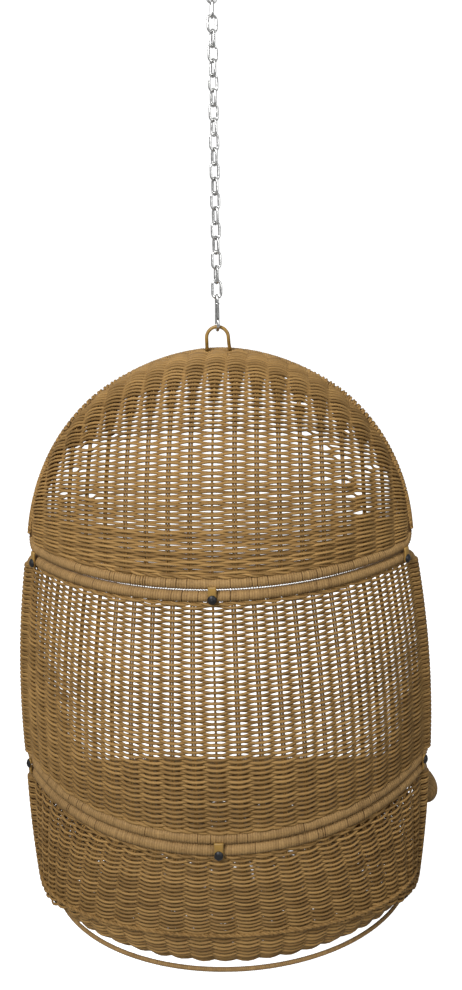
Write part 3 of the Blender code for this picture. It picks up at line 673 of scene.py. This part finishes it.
# laid strands along the seam and the arch, where the weave turns on to the tubes
seam_top = arc_path(ARCH_HALF - 0.010, SAG1 - 0.004, RIM1 + 0.004, Z1 + TUBE_R + 0.0030, np.linspace(-0.97, 0.97, 80))
seam_top[:, 1] += 0.0020
rope(hood_chunks, seam_top, 0.0022, STRAND_R * 0.95, 0.052)
inner = arch_pt(np.linspace(-0.96, 0.96, 120))
c0 = np.array([0, 0.02, Z1])
inner = inner + unit(c0 - inner) * (TUBE_R + 0.0022) + np.array([0, 0.0055, 0])
rope(hood_chunks, inner, 0.0023, STRAND_R * 0.95, 0.048)
o = make_object("hood_weave_strands", hood_chunks, [TAN, WRAP], "chair")
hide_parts("hood_weave")

# back panel
mid_chunks = []


def mid_at(t, u):
    half, rim, z = side_pt(u)
    sag = MID_SAG + (SAG2 - MID_SAG) * u + 0.010 * 4 * u * (1 - u)
    x, y, nx, ny = arc(half, sag, rim, t)
    return np.stack([x, y, z + 0 * x], -1), np.stack([nx, ny, 0 * nx], -1)


MID_STAKES = 11.9
rows_z = np.arange(TUBE_R + 0.0045, MID_H - TUBE_R - 0.0030, PITCH)
K = len(rows_z)
jit = smooth_noise(K, 24, 2, 0.00032)
POINTS = 141
t = np.linspace(-1, 1, POINTS) * 0.972
kappa = t * MID_STAKES
alt = np.cos(np.pi * (kappa[None, :] + np.arange(K)[:, None]))
soft = alt * (1.12 - 0.12 * alt ** 2)
D = rows_z[:, None] + 0.04 * PITCH * soft
D -= (((np.arange(K) % 2) * 2 - 1) * 0.00080)[:, None] * np.clip((np.abs(t) - 0.915) / 0.045, 0, 1)[None, :]
D += np.array([np.interp(t, np.linspace(-1, 1, 24), jit[i]) for i in range(K)])
P, N = mid_at(np.broadcast_to(t, (K, POINTS)), D / MID_H)
P = P + N * (0.0038 * soft + 0.0008)[..., None]
ends_out = []
pair_z = ((np.arange(K) % 2) * 2 - 1) * 0.00085
for sign in (-1, 1):
    u = rows_z / MID_H
    half, rim, z = side_pt(u)
    C = np.stack([sign * half, rim, z + pair_z], -1)
    _, nn = mid_at(np.full(K, sign * 0.985), u)
    out = unit(np.stack([sign * nn[:, 1], -sign * nn[:, 0], 0 * z], -1))
    Q, S = wrap_over(C, out, nn, None, TUBE_R + STRAND_R * 0.9, 7, -80)
    ends_out.append((Q, S))
P = np.concatenate([ends_out[0][0][:, ::-1], P, ends_out[1][0]], 1)
N = np.concatenate([ends_out[0][1][:, ::-1], N, ends_out[1][1]], 1)
P[:, 1:-1] = 0.6 * P[:, 1:-1] + 0.2 * (P[:, :-2] + P[:, 2:])
add(mid_chunks, P, N, 0.00242, sides=6)


def mid_upright(k, v):
    return mid_at(np.full_like(v, k / MID_STAKES), 0.004 + v * 0.992)


uprights(mid_chunks, mid_upright, range(-11, 12), 26)
for zz, half, sag, rim, push in ((ZM_TOP - TUBE_R - 0.0030, MID_TOP_HALF, MID_SAG, MID_RIM, 0.0012), (ZM_LOW + TUBE_R + 0.0028, MID_LOW_HALF, SAG2, RIM2, 0.0018)):
    path = arc_path(half - 0.006, sag - 0.002, rim + 0.003, zz, np.linspace(-0.975, 0.975, 90))
    path[:, 1] += push
    rope(mid_chunks, path, 0.0022, STRAND_R * 0.95, 0.055)
o = make_object("back_weave_strands", mid_chunks, [TAN, WRAP], "chair")
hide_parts("middle_weave")

# seat bowl: the wall behind, the front under the lip, and the turned-under bottom
bowl_chunks = []
C_TOP, C_RIDGE = TOP - 0.9300, TOP - 1.1210       # middle of the wall, top and ridge
S_TOP, S_LOW = TOP - 0.9320, TOP - 1.1780         # where the first and last rows meet the side tubes
RIDGE_HALF, RIDGE_Y = 0.3660, 0.0860


def wall_at(t, v):
    """Back wall: v = 0 under the seam, 1 at the ridge; t from side tube to side tube."""
    v = np.clip(v, 0, 1)
    zc = C_TOP + (C_RIDGE - C_TOP) * v
    zs = S_TOP + (S_LOW - S_TOP) * v
    half_tube = low_tube_x(zs)
    half = half_tube + (RIDGE_HALF - half_tube) * v ** 1.5 * 0.0
    sag = LOW_SAG - 0.001 + ((RIDGE_Y - LOW_RIM) - LOW_SAG) * v ** 1.25
    x0, y0, _, _ = arc(half, sag, LOW_RIM, t)
    a = t * np.pi / 2
    x1, y1 = half * np.sin(a), LOW_RIM + sag * np.cos(a)
    w = np.clip(v, 0, 1) ** 0.8
    x, y = x0 + (x1 - x0) * w, y0 + (y1 - y0) * w
    z = zc + (zs - zc) * np.abs(t) ** 2.6
    return np.stack([x, y, z], -1)


def normals_of(fn, t, v, centre):
    e = 2e-3
    du = fn(t + e, v) - fn(t - e, v)
    dv = fn(t, v + e) - fn(t, v - e)
    n = unit(np.cross(du, dv))
    p = fn(t, v)
    s = np.sign(np.sum(n * (p - centre), -1, keepdims=True))
    return p, n * np.where(s == 0, 1, s)


BOWL_C = np.array([0, -0.12, TOP - 1.05])
BOWL_STAKES = 12.0
wall_len = float(np.linalg.norm(np.diff(wall_at(np.zeros(40), np.linspace(0, 1, 40)), axis=0), axis=1).sum())
K = int(wall_len / PITCH) + 1
v_rows = (np.arange(K) + 0.5) / K
POINTS = 151
t = np.linspace(-1, 1, POINTS) * 0.968
jit = smooth_noise(K, 26, 2, 0.0022)
alt = np.cos(np.pi * (t * BOWL_STAKES)[None, :] + np.pi * np.arange(K)[:, None])
soft = alt * (1.12 - 0.12 * alt ** 2)
V = v_rows[:, None] - (0.10 / K) * soft + np.array([np.interp(t, np.linspace(-1, 1, 26), jit[i]) for i in range(K)])
P, N = normals_of(wall_at, np.broadcast_to(t, (K, POINTS)), np.clip(V, 0.001, 0.998), BOWL_C)
P = P + N * (0.0043 * soft + 0.0008)[..., None]
ends_out = []
pair = ((np.arange(K) % 2) * 2 - 1) * 0.00110
for sign in (-1, 1):
    zs_ = S_TOP + (S_LOW - S_TOP) * v_rows + pair
    C = np.stack([sign * low_tube_x(zs_), np.full(K, LOW_RIM), zs_], -1)
    nn = unit(np.stack([np.full(K, sign * 0.45), np.full(K, 0.9), 0 * zs_], -1))
    out = unit(np.stack([sign * nn[:, 1], -sign * nn[:, 0], 0 * zs_], -1))
    Q, S = wrap_over(C, out, nn, None, TUBE_R + STRAND_R * 0.9, 7, -80)
    ends_out.append((Q, S))
P = np.concatenate([ends_out[0][0][:, ::-1], P, ends_out[1][0]], 1)
N = np.concatenate([ends_out[0][1][:, ::-1], N, ends_out[1][1]], 1)
P[:, 1:-1] = 0.6 * P[:, 1:-1] + 0.2 * (P[:, :-2] + P[:, 2:])
add(bowl_chunks, P, N, 0.00202, sides=6)


def wall_upright(k, v):
    return normals_of(wall_at, np.full_like(v, k / BOWL_STAKES), v, BOWL_C)


uprights(bowl_chunks, wall_upright, range(-11, 12), 20)
wall_object = make_object("bowl_wall_strands", bowl_chunks, [TAN, WRAP], "chair")
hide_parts("bottom_weave")
bowl_chunks = []

# bottom: rings from the ridge, over the lowest edge, in to the middle
LEVELS = [  # half width, depth behind, depth in front, y of the widest point, height behind, at the sides, in front
    (0.3740, 0.1560, 0.2150, -0.0700, 1.1210, 1.1300, 1.1500),
    (0.3700, 0.1600, 0.2120, -0.0800, 1.1450, 1.1500, 1.1620),
    (0.3620, 0.1660, 0.2000, -0.0950, 1.1720, 1.1700, 1.1720),
    (0.3500, 0.1720, 0.1720, -0.1200, 1.2000, 1.1840, 1.1780),
    (0.3360, 0.1600, 0.1450, -0.1300, 1.2100, 1.1880, 1.1810),
    (0.3000, 0.1150, 0.1150, -0.1450, 1.1930, 1.1870, 1.1840),
    (0.2500, 0.0750, 0.0750, -0.1500, 1.1890, 1.1880, 1.1860),
    (0.1900, 0.0250, 0.0250, -0.1500, 1.1885, 1.1885, 1.1880),
]
LV = np.array(LEVELS)


def ring_at(a, w):
    f = np.clip(w, 0, 1) * (len(LV) - 1)
    q = [np.interp(f, np.arange(len(LV)), LV[:, i]) for i in range(7)]
    s, c = np.sin(a), np.cos(a)
    x = q[0] * s
    y = q[3] + np.where(c > 0, q[1], q[2]) * c
    z = TOP - (q[5] + (np.where(c > 0, q[4], q[6]) - q[5]) * np.abs(c) ** 1.3)
    return np.stack([x, y, z], -1)


prof = ring_at(np.zeros(200), np.linspace(0, 1, 200))
plen = np.concatenate([[0], np.cumsum(np.linalg.norm(np.diff(prof, axis=0), axis=1))])
K = int(plen[-1] / (PITCH * 1.0))
w_rows = np.interp(np.arange(K) * plen[-1] / K + 0.001, plen, np.linspace(0, 1, 200))
RING_STAKES = 52
POINTS = 208
a = np.linspace(-np.pi, np.pi, POINTS, endpoint=False)
fade = np.clip((1 - w_rows) * 3.0, 0.25, 1)[:, None]
alt = np.cos(a * RING_STAKES / 2 + np.pi * np.arange(K)[:, None])
W = w_rows[:, None] + 0.5 / K * alt * 0.8
A = np.broadcast_to(a, (K, POINTS))
P, N = normals_of(ring_at, A, np.clip(W, 0.0005, 0.9995), np.array([0, -0.13, TOP - 1.12]))
P = P + N * (0.0030 * alt * fade)[..., None]
add(bowl_chunks, P, N, STRAND_R, sides=5, closed=True)
spokes_a = (np.arange(RING_STAKES) * 2 * np.pi / RING_STAKES)
sv = np.linspace(0, 0.97, 40)
SP, SN = normals_of(ring_at, np.broadcast_to(spokes_a[:, None], (RING_STAKES, 40)), np.broadcast_to(sv, (RING_STAKES, 40)), np.array([0, -0.13, TOP - 1.12]))
add(bowl_chunks, SP, SN, 0.0021, sides=6, tone=rng.uniform(0.3, 0.5, RING_STAKES))

# straight rows across the middle of the floor
last = LV[-1]
for i, dy in enumerate(np.arange(-0.0195, 0.0200, 0.0043)):
    wide = last[0] * math.sqrt(1 - (dy / 0.0250) ** 2) + 0.004
    fx = np.linspace(-wide, wide, 61)
    up_down = np.cos(np.pi * (fx / 0.0215 + i))
    line = np.stack([fx, np.full(61, last[3] + dy), TOP - 1.1885 - 0.0030 * up_down], -1)
    add(bowl_chunks, line[None], np.array([[0.0, 0.0, -1.0]]), STRAND_R, sides=6)

# front of the bowl, from the lip's underside down to the first ring
def lip_z(c):
    return Z_LIP - LIP_DIP * np.clip(c, 0, 1) ** LIP_BEND


def front_at(a, v):
    """a from -pi/2 at the right tube, through the front, to pi/2; v = 0 under the lip, 1 at the ring."""
    c, s = np.clip(np.cos(a), 0, 1), np.sin(a)
    q = LV[0]
    x1, y1 = q[0] * s, q[3] - q[2] * c
    z1 = TOP - (q[5] + (q[6] - q[5]) * c ** 1.3)
    x0 = (LOW_TOP_HALF - 0.0120) * s
    y0 = RIM2 - 0.012 - 0.226 * c
    z0 = lip_z(c) - (LIP_END_R + (LIP_R - LIP_END_R) * np.minimum(1, c * 1.5)) * 0.80
    return np.stack([x0 + (x1 - x0) * v, y0 + (y1 - y0) * v, z0 + (z1 - z0) * v], -1)


K = 22
POINTS = 120
a = np.linspace(-np.pi / 2, np.pi / 2, POINTS)
alt = np.cos(a * 26 + np.pi * np.arange(K)[:, None])
V = (np.arange(K)[:, None] + 0.5) / K + 0.4 / K * alt
P, N = normals_of(front_at, np.broadcast_to(a, (K, POINTS)), V, BOWL_C)
P = P + N * (0.0040 * alt)[..., None]
add(bowl_chunks, P, N, STRAND_R, sides=6)
fa = np.arange(-12, 13) * np.pi / 26
fv = np.linspace(-0.03, 1.03, 14)
SP, SN = normals_of(front_at, np.broadcast_to(fa[:, None], (25, 14)), np.broadcast_to(fv, (25, 14)), BOWL_C)
add(bowl_chunks, SP, SN, 0.0021, sides=6)

# ridge rib, and the laid strands under the seam
tr = np.linspace(-0.93, 0.93, 150)
v_ridge = 0.955 - 0.20 * np.abs(tr) ** 2.2
R, RN = normals_of(wall_at, tr, np.minimum(v_ridge, 0.995), BOWL_C)
R = R + RN * 0.0062
rope(bowl_chunks, R, 0.0016, STRAND_R * 0.85, 0.016)
path = arc_path(LOW_TOP_HALF - 0.006, LOW_SAG - 0.003, LOW_RIM + 0.003, Z_LOW - TUBE_R - 0.0026, np.linspace(-0.975, 0.975, 90))
path[:, 1] += 0.0018
rope(bowl_chunks, path, 0.0021, STRAND_R * 0.95, 0.055)
o = make_object("bowl_weave_strands", bowl_chunks, [TAN, WRAP], "chair")
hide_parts("bottom_weave")

# ---- base hoop and front lip ------------------------------------------------------------------------------
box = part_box("base_hoop")
hy0, hy1 = float(box[0][1]), float(box[1][1])
ha = np.linspace(0, 2 * np.pi, 160, endpoint=False)
HOOP_Y, HOOP_HALF, HOOP_Z = -0.1779, 0.3893, (float(box[0][2]) + float(box[1][2])) / 2
deep = np.where(np.cos(ha) > 0, 0.2320, 0.1300)
hoop = np.stack([HOOP_HALF * np.sin(ha), HOOP_Y + deep * np.cos(ha), np.full_like(ha, HOOP_Z)], -1)
hoop_chunks = []
coil(hoop_chunks, hoop, 0.0036, wrap=0.0040, closed=True, sides=10, depth=0.0005, gaps=0.0)
o = make_object("base_hoop_wrapped", hoop_chunks, [TAN, WRAP], "chair")
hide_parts("base_hoop")

lip_back = RIM2 - TUBE_R - 0.0300
la = np.linspace(-np.pi / 2, np.pi / 2, 91)
lc = np.clip(np.cos(la), 0, 1)
lip = np.stack([LIP_X + LIP_HALF * np.sin(la), lip_back - (LIP_REACH - 0.0395) * lc, Z_LIP - LIP_DIP * lc ** LIP_BEND], -1)
lr = LIP_END_R + (LIP_R - LIP_END_R) * np.minimum(1, lc * 1.5)
cap_a = np.linspace(0, np.pi / 2, 9)[1:]
cap_y, cap_r = 0.0250 * np.sin(cap_a), np.maximum(LIP_END_R * np.cos(cap_a), 0.0010)
L_end = np.stack([np.full(8, LIP_X - LIP_HALF), lip_back + cap_y, np.full(8, Z_LIP)], -1)[::-1]
R_end = np.stack([np.full(8, LIP_X + LIP_HALF), lip_back + cap_y, np.full(8, Z_LIP)], -1)
lip_path = np.concatenate([L_end, lip, R_end])
lip_rad = np.concatenate([cap_r[::-1], lr, cap_r])
dist = np.concatenate([[0], np.cumsum(np.linalg.norm(np.diff(lip_path, axis=0), axis=1))])
even = np.interp(np.linspace(0, dist[-1], 400), dist, lip_rad)
lip_chunks = []
coil(lip_chunks, lip_path, even, wrap=0.0044, sides=20, depth=0.0012, gaps=0.0)
o = make_object("front_lip_wrapped", lip_chunks, [TAN, WRAP], "chair")
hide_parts("front_lip")


# ---- smooth metal: chain, hooks, loop, bolts ----------------------------------------------------------------
def bar_object(name, points, radius, mat, body, node_name, closed=False, sides=16):
    chunks = []
    P = np.asarray(points, float)
    T, N = frames_along(P, closed)
    add(chunks, P[None], N[None], radius, sides=sides, closed=closed, tone=[0.5])
    o = make_object(name, chunks, [mat], body)
    if node_name:
        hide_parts(node_name)
    return o


for k in range(1, 22):
    lo, hi = [np.array(c, float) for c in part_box(f"chain_link_{k:02d}")]
    mid = (lo + hi) / 2
    size = hi - lo
    wide_axis = 0 if size[0] > size[1] else 1
    wire = 0.0026
    half_l = size[2] / 2 - 0.0025
    half_w = 0.0085
    a = np.linspace(0, np.pi, 13)
    h = np.concatenate([half_l - half_w + half_w * np.sin(a), -(half_l - half_w + half_w * np.sin(a))])
    w = np.concatenate([half_w * np.cos(a), -half_w * np.cos(a)])
    # each link is turned a little about the vertical, more in the middle of the chain than at its ends
    twist = math.radians(float(np.interp(k, [1, 5, 18, 21], [8, 34, 36, 16])))
    pts = np.zeros((26, 3)); pts[:, 2] = mid[2] + h
    pts[:, wide_axis] = w * math.cos(twist)
    pts[:, 1 - wide_axis] = w * math.sin(twist) * (1 if wide_axis == 0 else -1)
    pts = np.insert(pts, 13, (pts[12] + pts[13]) / 2, axis=0)
    bump = 1 + 0.16 * np.exp(-(((np.arange(27) - 13) / 1.2) ** 2))
    bar_object(f"link_{k:02d}_wire", pts, (np.full(27, wire) * bump)[None], ZINC, f"link_{k:02d}", f"chain_link_{k:02d}", closed=True, sides=12)

HOOK_LOW_R, HOOK_TOP_R, HOOK_REACH, WIRE = 0.0125, 0.0080, 0.0690, 0.0060


def snap_body(prefix, z_low, turn, body):
    low_c, top_c = z_low + HOOK_LOW_R, z_low + HOOK_REACH - HOOK_TOP_R
    lean = math.asin((HOOK_LOW_R - HOOK_TOP_R) / (top_c - low_c))
    low_tan = np.array([0, HOOK_LOW_R * math.cos(lean), low_c + HOOK_LOW_R * math.sin(lean)])
    top_tan = np.array([0, HOOK_TOP_R * math.cos(lean), top_c + HOOK_TOP_R * math.sin(lean)])
    down = unit(low_tan - top_tan)
    pts = [top_tan + down * 0.0110, top_tan + down * 0.0060, top_tan + down * 0.0025]
    for i in range(17):
        a = lean + (math.pi - 2 * lean) * i / 16
        pts.append(np.array([0, HOOK_TOP_R * math.cos(a), top_c + HOOK_TOP_R * math.sin(a)]))
    p0 = pts[-1]
    a = math.pi - lean
    p1 = np.array([0, HOOK_LOW_R * math.cos(a), low_c + HOOK_LOW_R * math.sin(a)])
    for q in np.linspace(0, 1, 7)[1:-1]:
        pts.append(p0 + (p1 - p0) * q)
    for i in range(21):
        a = math.pi - lean + (math.pi + 2 * lean) * i / 20
        pts.append(np.array([0, HOOK_LOW_R * math.cos(a), low_c + HOOK_LOW_R * math.sin(a)]))
    nose = low_tan - down * 0.0080
    pts += [low_tan - down * 0.0040, nose]
    pts = np.array(pts)
    n = len(pts)
    r = np.full(n, WIRE / 2)
    r[0], r[1], r[2] = 0.0018, 0.0021, 0.0028
    r[-1] = WIRE / 2 * 0.93
    c, s = math.cos(turn), math.sin(turn)
    rot = np.array([[c, -s, 0], [s, c, 0], [0, 0, 1]])
    chunks = []
    T, N = frames_along(pts, False)
    add(chunks, (pts @ rot.T)[None], (N @ rot.T)[None], r[None], sides=16, tone=[0.5])
    # pin heads of the gate
    hinge = top_tan + down * 0.0090
    pin = np.array([hinge + np.array([x, 0, 0]) for x in (-0.0036, -0.0032, 0.0032, 0.0036)]) @ rot.T
    add(chunks, pin[None], np.broadcast_to(down @ rot.T, (4, 3))[None], np.array([0.0010, 0.0016, 0.0016, 0.0010])[None], sides=12, tone=[0.4])
    o = make_object(prefix + "_forged", chunks, [ZINC], body)
    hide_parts(prefix + "_body", prefix + "_pin")
    # gate: a round bar, thinner at the hinge end, with a groove at the nose
    start, stop = hinge - down * 0.0028, nose - down * 0.0006
    q = np.linspace(0, 1, 14)
    gp = start + (stop - start) * q[:, None]
    gr = np.interp(q, [0, 0.06, 0.2, 0.86, 0.9, 0.94, 1], [0.0020, 0.0028, 0.0029, 0.0029, 0.0025, 0.0029, 0.0027])
    chunks = []
    add(chunks, (gp @ rot.T)[None], np.broadcast_to(rot @ np.array([1.0, 0, 0]), (14, 3))[None], gr[None], sides=14, tone=[0.2])
    o = make_object(prefix + "_gate_bar", chunks, [GATE], body.replace("hook", "gate"))
    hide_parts(prefix + "_gate")


GATE = smooth_material("zinc_gate", (0.24, 0.24, 0.235), 1.0, 0.38, 0.15, 120.0)
up_box, low_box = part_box("upper_hook_body"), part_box("lower_hook_body")
snap_body("upper_hook", float(up_box[0][2]) + WIRE / 2, 0.0, "upper_hook")
snap_body("lower_hook", float(low_box[0][2]) + WIRE / 2, math.radians(14.0), "lower_hook")

# ceiling plate: rounded disc with a forged eye; its four pan-head screws are the model's own parts
plate_r = 0.042
chunks = []
prof_r = np.array([0.0, 0.010, 0.030, plate_r - 0.0012, plate_r - 0.0003, plate_r, plate_r, plate_r - 0.0008, 0.030, 0.0])
prof_z = np.array([0.0, 0.0, 0.0, 0.0, -0.0003, -0.0010, -0.0038, -0.0048, -0.0050, -0.0050])
a = np.linspace(0, 2 * np.pi, 72, endpoint=False)
verts = np.stack([prof_r[:, None] * np.cos(a), prof_r[:, None] * np.sin(a), np.broadcast_to(prof_z[:, None], (10, 72))], -1)
verts[0, :, :2] = 1e-5 * np.stack([np.cos(a), np.sin(a)], -1); verts[-1, :, :2] = verts[0, :, :2]
idx = np.arange(720).reshape(10, 72)
nx = np.roll(idx, -1, 1)
quads = np.stack([idx[:-1], idx[1:], nx[1:], nx[:-1]], -1).reshape(-1, 4)
chunks.append((verts.reshape(-1, 3), quads[:, ::-1], 0, 0.5))
ea = np.linspace(0, 2 * np.pi, 48, endpoint=False)
eye = np.stack([0.013 * np.cos(ea), 0 * ea, -0.017 + 0.013 * np.sin(ea)], -1)
eye[:, 2] = np.minimum(eye[:, 2], -0.0038)
T, N = frames_along(eye, True)
add(chunks, eye[None], N[None], 0.0035, sides=14, closed=True, tone=[0.5])
o = make_object("ceiling_plate_round", chunks, [ZINC], "ceiling")
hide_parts("ceiling_plate")

# hang loop: painted rod, its feet welded on to the arch
foot = float(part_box("hang_loop")[0][2])
lc_z = TOP - 0.0035
lean = ARCH_FRONT
la = np.linspace(0, np.pi, 25)
loop = [np.array([0.0215 * math.cos(q), 0.0, lc_z - 0.0215 + 0.0215 * math.sin(q)]) for q in la]
feet_r = [np.array([0.0228, 0.62 * lean, foot - 0.004]), np.array([0.0224, 0.50 * lean, foot + 0.003]), np.array([0.0218, 0.22 * lean, foot + 0.011])]
feet_l = [p * (-1, 1, 1) for p in feet_r[::-1]]
pts = np.array(feet_r + loop + feet_l)
bar_object("hang_loop_rod", pts, 0.0035, PAINT, "chair", "hang_loop", sides=16)


# bolts: a turned dome with a washer face, shank and cap nut
def bolt_pieces(seam, side, half, sag, rim, x, z):
    radius = (half ** 2 + sag ** 2) / (2 * sag)
    cy = rim + sag - radius
    y = cy + math.sqrt(radius ** 2 - x * x)
    out = np.array([x, y - cy, 0.0]); out /= np.linalg.norm(out)
    across = np.cross(out, (0, 0, 1.0)); up = np.array([0, 0, 1.0])
    at = np.array([x, y, z])
    base = TUBE_R + 0.0008 + 0.0030 + 0.0003
    a = np.linspace(0, 2 * np.pi, 28, endpoint=False)

    def lathe(profile):
        pr, pd = np.array([p[0] for p in profile]), np.array([p[1] for p in profile])
        v = at + out * pd[:, None, None] + pr[:, None, None] * (np.cos(a)[None, :, None] * across + np.sin(a)[None, :, None] * up)
        n = len(profile)
        i = np.arange(n * 28).reshape(n, 28)
        j = np.roll(i, -1, 1)
        return v.reshape(-1, 3), np.stack([i[:-1], j[:-1], j[1:], i[1:]], -1).reshape(-1, 4)

    dome = [(1e-5, base + 0.0047), (0.0018, base + 0.0046), (0.0022, base + 0.0041), (0.0032, base + 0.0041), (0.0050, base + 0.0033), (0.0066, base + 0.0021), (0.0076, base + 0.0010),
            (0.0081, base + 0.0006), (0.0081, base), (0.0030, base), (0.0030, -TUBE_R - 0.0050), (1e-5, -TUBE_R - 0.0050)]
    v, f = lathe(dome)
    o = make_object(f"bolt_{seam}_{side}_domed", [(v, f, 0, 0.5)], [BLACK], "chair")
    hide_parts(f"bolt_{seam}_{side}")
    nb = -(TUBE_R + 0.0008)
    nut = [(0.0031, nb), (0.0058, nb), (0.0062, nb - 0.0006), (0.0062, nb - 0.0026), (0.0054, nb - 0.0042), (0.0038, nb - 0.0054), (1e-5, nb - 0.0058), ]
    v, f = lathe(nut)
    o = make_object(f"nut_{seam}_{side}_cap", [(v, f, 0, 0.5)], [BLACK], "chair")
    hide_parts(f"nut_{seam}_{side}")


for seam, half, sag, rim, z_mid, z_side in (("upper", ARCH_HALF, SAG1, RIM1, ZM_TOP, ZM_TOP), ("lower", MID_LOW_HALF, SAG2, RIM2, Z_LOW, ZM_LOW)):
    for side, x in (("left", half - BOLT_IN), ("centre", 0.0), ("right", -half + BOLT_IN)):
        bolt_pieces(seam, side, half, sag, rim, x, z_mid if side == "centre" else z_side)

# carried-over nodes
for name in ("ceiling_screw_1", "ceiling_screw_2", "ceiling_screw_3", "ceiling_screw_4"):
    obj = bpy.data.objects.get(name)
    if obj is not None:
        for s_ in obj.material_slots:
            s_.material = ZINC

# ---- stage, light, camera ------------------------------------------------------------------------------------
floor_mesh = bpy.data.meshes.new("studio_floor")
bm = bmesh.new()
FLOOR_Z = float(cad_box[0][2]) - 0.55
steps = 24
prof = [(-14.0, FLOOR_Z), (8.0, FLOOR_Z)]
rows = []
sweep = [(8.0, FLOOR_Z)] + [(-6.0 - 3.0 * math.sin(q), FLOOR_Z + 3.0 - 3.0 * math.cos(q)) for q in np.linspace(0, math.pi / 2, steps)] + [(-9.0, FLOOR_Z + 12.0)]
for y, z in sweep:
    rows.append([bm.verts.new((x, y, z)) for x in (-14.0, 14.0)])
for p, q in zip(rows, rows[1:]):
    bm.faces.new((p[0], p[1], q[1], q[0]))
bm.to_mesh(floor_mesh); bm.free()
floor = bpy.data.objects.new("studio_floor", floor_mesh)
bpy.context.scene.collection.objects.link(floor)
fm, ft, fp = new_material("pale_floor")
noise = stretched_noise(ft, 3.0, (1, 1, 1), 2.0)
r = ramp(ft, noise.outputs["Fac"], [(0.3, (0.93, 0.93, 0.93)), (0.7, (0.95, 0.95, 0.95))])
ft.links.new(r.outputs["Color"], fp.inputs["Base Color"])
fp.inputs["Roughness"].default_value = 0.9
fp.inputs["Emission Color"].default_value = (1, 1, 1, 1)
fp.inputs["Emission Strength"].default_value = 1.0
floor_mesh.materials.append(fm)
for p in floor_mesh.polygons:
    p.use_smooth = True
floor.visible_diffuse = False
floor.visible_glossy = False

world = bpy.data.worlds.new("studio")
world.use_nodes = True
bg = world.node_tree.nodes["Background"]
bg.inputs["Strength"].default_value = 1.0
wt = world.node_tree
w_coord = wt.nodes.new("ShaderNodeTexCoord")
w_split = wt.nodes.new("ShaderNodeSeparateXYZ")
wt.links.new(w_coord.outputs["Generated"], w_split.inputs["Vector"])
w_map = wt.nodes.new("ShaderNodeMapRange")
w_map.inputs["From Min"].default_value = -1.0
wt.links.new(w_split.outputs["Z"], w_map.inputs["Value"])
w_ramp = ramp(wt, w_map.outputs["Result"], [(0.20, (0.01, 0.01, 0.01)), (0.50, (0.035, 0.035, 0.035)), (0.85, (0.24, 0.24, 0.24))])
w_path = wt.nodes.new("ShaderNodeLightPath")
w_mix = wt.nodes.new("ShaderNodeMix")
w_mix.data_type = "RGBA"
w_bright = wt.nodes.new("ShaderNodeMath"); w_bright.operation = "MULTIPLY"
w_bright.inputs[1].default_value = 0.38
wt.links.new(w_path.outputs["Is Glossy Ray"], w_bright.inputs[0])
w_most = wt.nodes.new("ShaderNodeMath"); w_most.operation = "MAXIMUM"
wt.links.new(w_path.outputs["Is Camera Ray"], w_most.inputs[0])
wt.links.new(w_bright.outputs[0], w_most.inputs[1])
wt.links.new(w_most.outputs[0], w_mix.inputs["Factor"])
for socket in w_mix.inputs:
    if socket.type == "RGBA" and socket.identifier == "A_Color":
        wt.links.new(w_ramp.outputs["Color"], socket)
    if socket.type == "RGBA" and socket.identifier == "B_Color":
        socket.default_value = (1, 1, 1, 1)
for socket in w_mix.outputs:
    if socket.identifier == "Result_Color":
        wt.links.new(socket, bg.inputs["Color"])
bpy.context.scene.world = world
bpy.context.scene.view_settings.view_transform = "Standard"


def area(name, loc, target, size, power, colour=(1, 1, 1)):
    data = bpy.data.lights.new(name, "AREA")
    data.shape = "RECTANGLE"
    data.size, data.size_y = size
    data.energy = power
    data.color = colour
    o = bpy.data.objects.new(name, data)
    bpy.context.scene.collection.objects.link(o)
    o.location = loc
    o.rotation_euler = (Vector(target) - Vector(loc)).to_track_quat("-Z", "Y").to_euler()
    return o


mid_z = TOP - 0.65
area("key", (1.2, 2.5, mid_z + 2.5), (0, 0, mid_z), (1.2, 1.2), 104)
area("front", (0.8, -3.0, mid_z + 1.4), (0, 0, mid_z - 0.2), (2.0, 2.0), 12)
area("fill", (-2.2, 2.4, mid_z + 1.2), (0, 0, mid_z), (1.4, 1.4), 24)

cam_data = bpy.data.cameras.new("camera")
cam = bpy.data.objects.new("camera", cam_data)
bpy.context.scene.collection.objects.link(cam)
F, YAW, ROLL, PITCH_CAM = 681.18, 0.0087, 0.0168, 0.0053
PX, PY = 271.34, 250.0
cam_at = np.array([-0.1206, 1.3397, TOP + 0.1528])


def turned(axis, a, v):
    axis = np.array(axis, float) / np.linalg.norm(axis)
    v = np.array(v, float)
    return v * math.cos(a) + np.cross(axis, v) * math.sin(a) + axis * (axis @ v) * (1 - math.cos(a))


right_, up_, fwd = np.array([-1.0, 0, 0]), np.array([0, 0, 1.0]), np.array([0, -1.0, 0])
right_, up_, fwd = [turned((0, 0, 1), YAW, v) for v in (right_, up_, fwd)]
up_, fwd = [turned(right_, -PITCH_CAM, v) for v in (up_, fwd)]
right_, up_ = [turned(fwd, ROLL, v) for v in (right_, up_)]
M4 = Matrix.Identity(4)
for i in range(3):
    M4[i][0], M4[i][1], M4[i][2], M4[i][3] = right_[i], up_[i], -fwd[i], cam_at[i]
cam.matrix_world = M4
cam_data.sensor_fit = "AUTO"
cam_data.sensor_width = 36.0
cam_data.lens = F * 36.0 / 990.0
cam_data.shift_x = -(PX - 231.0) / 990.0
cam_data.shift_y = (PY - 495.0) / 990.0
cam_data.clip_start, cam_data.clip_end = 0.05, 100.0
bpy.context.scene.camera = cam

bpy.context.view_layer.update()
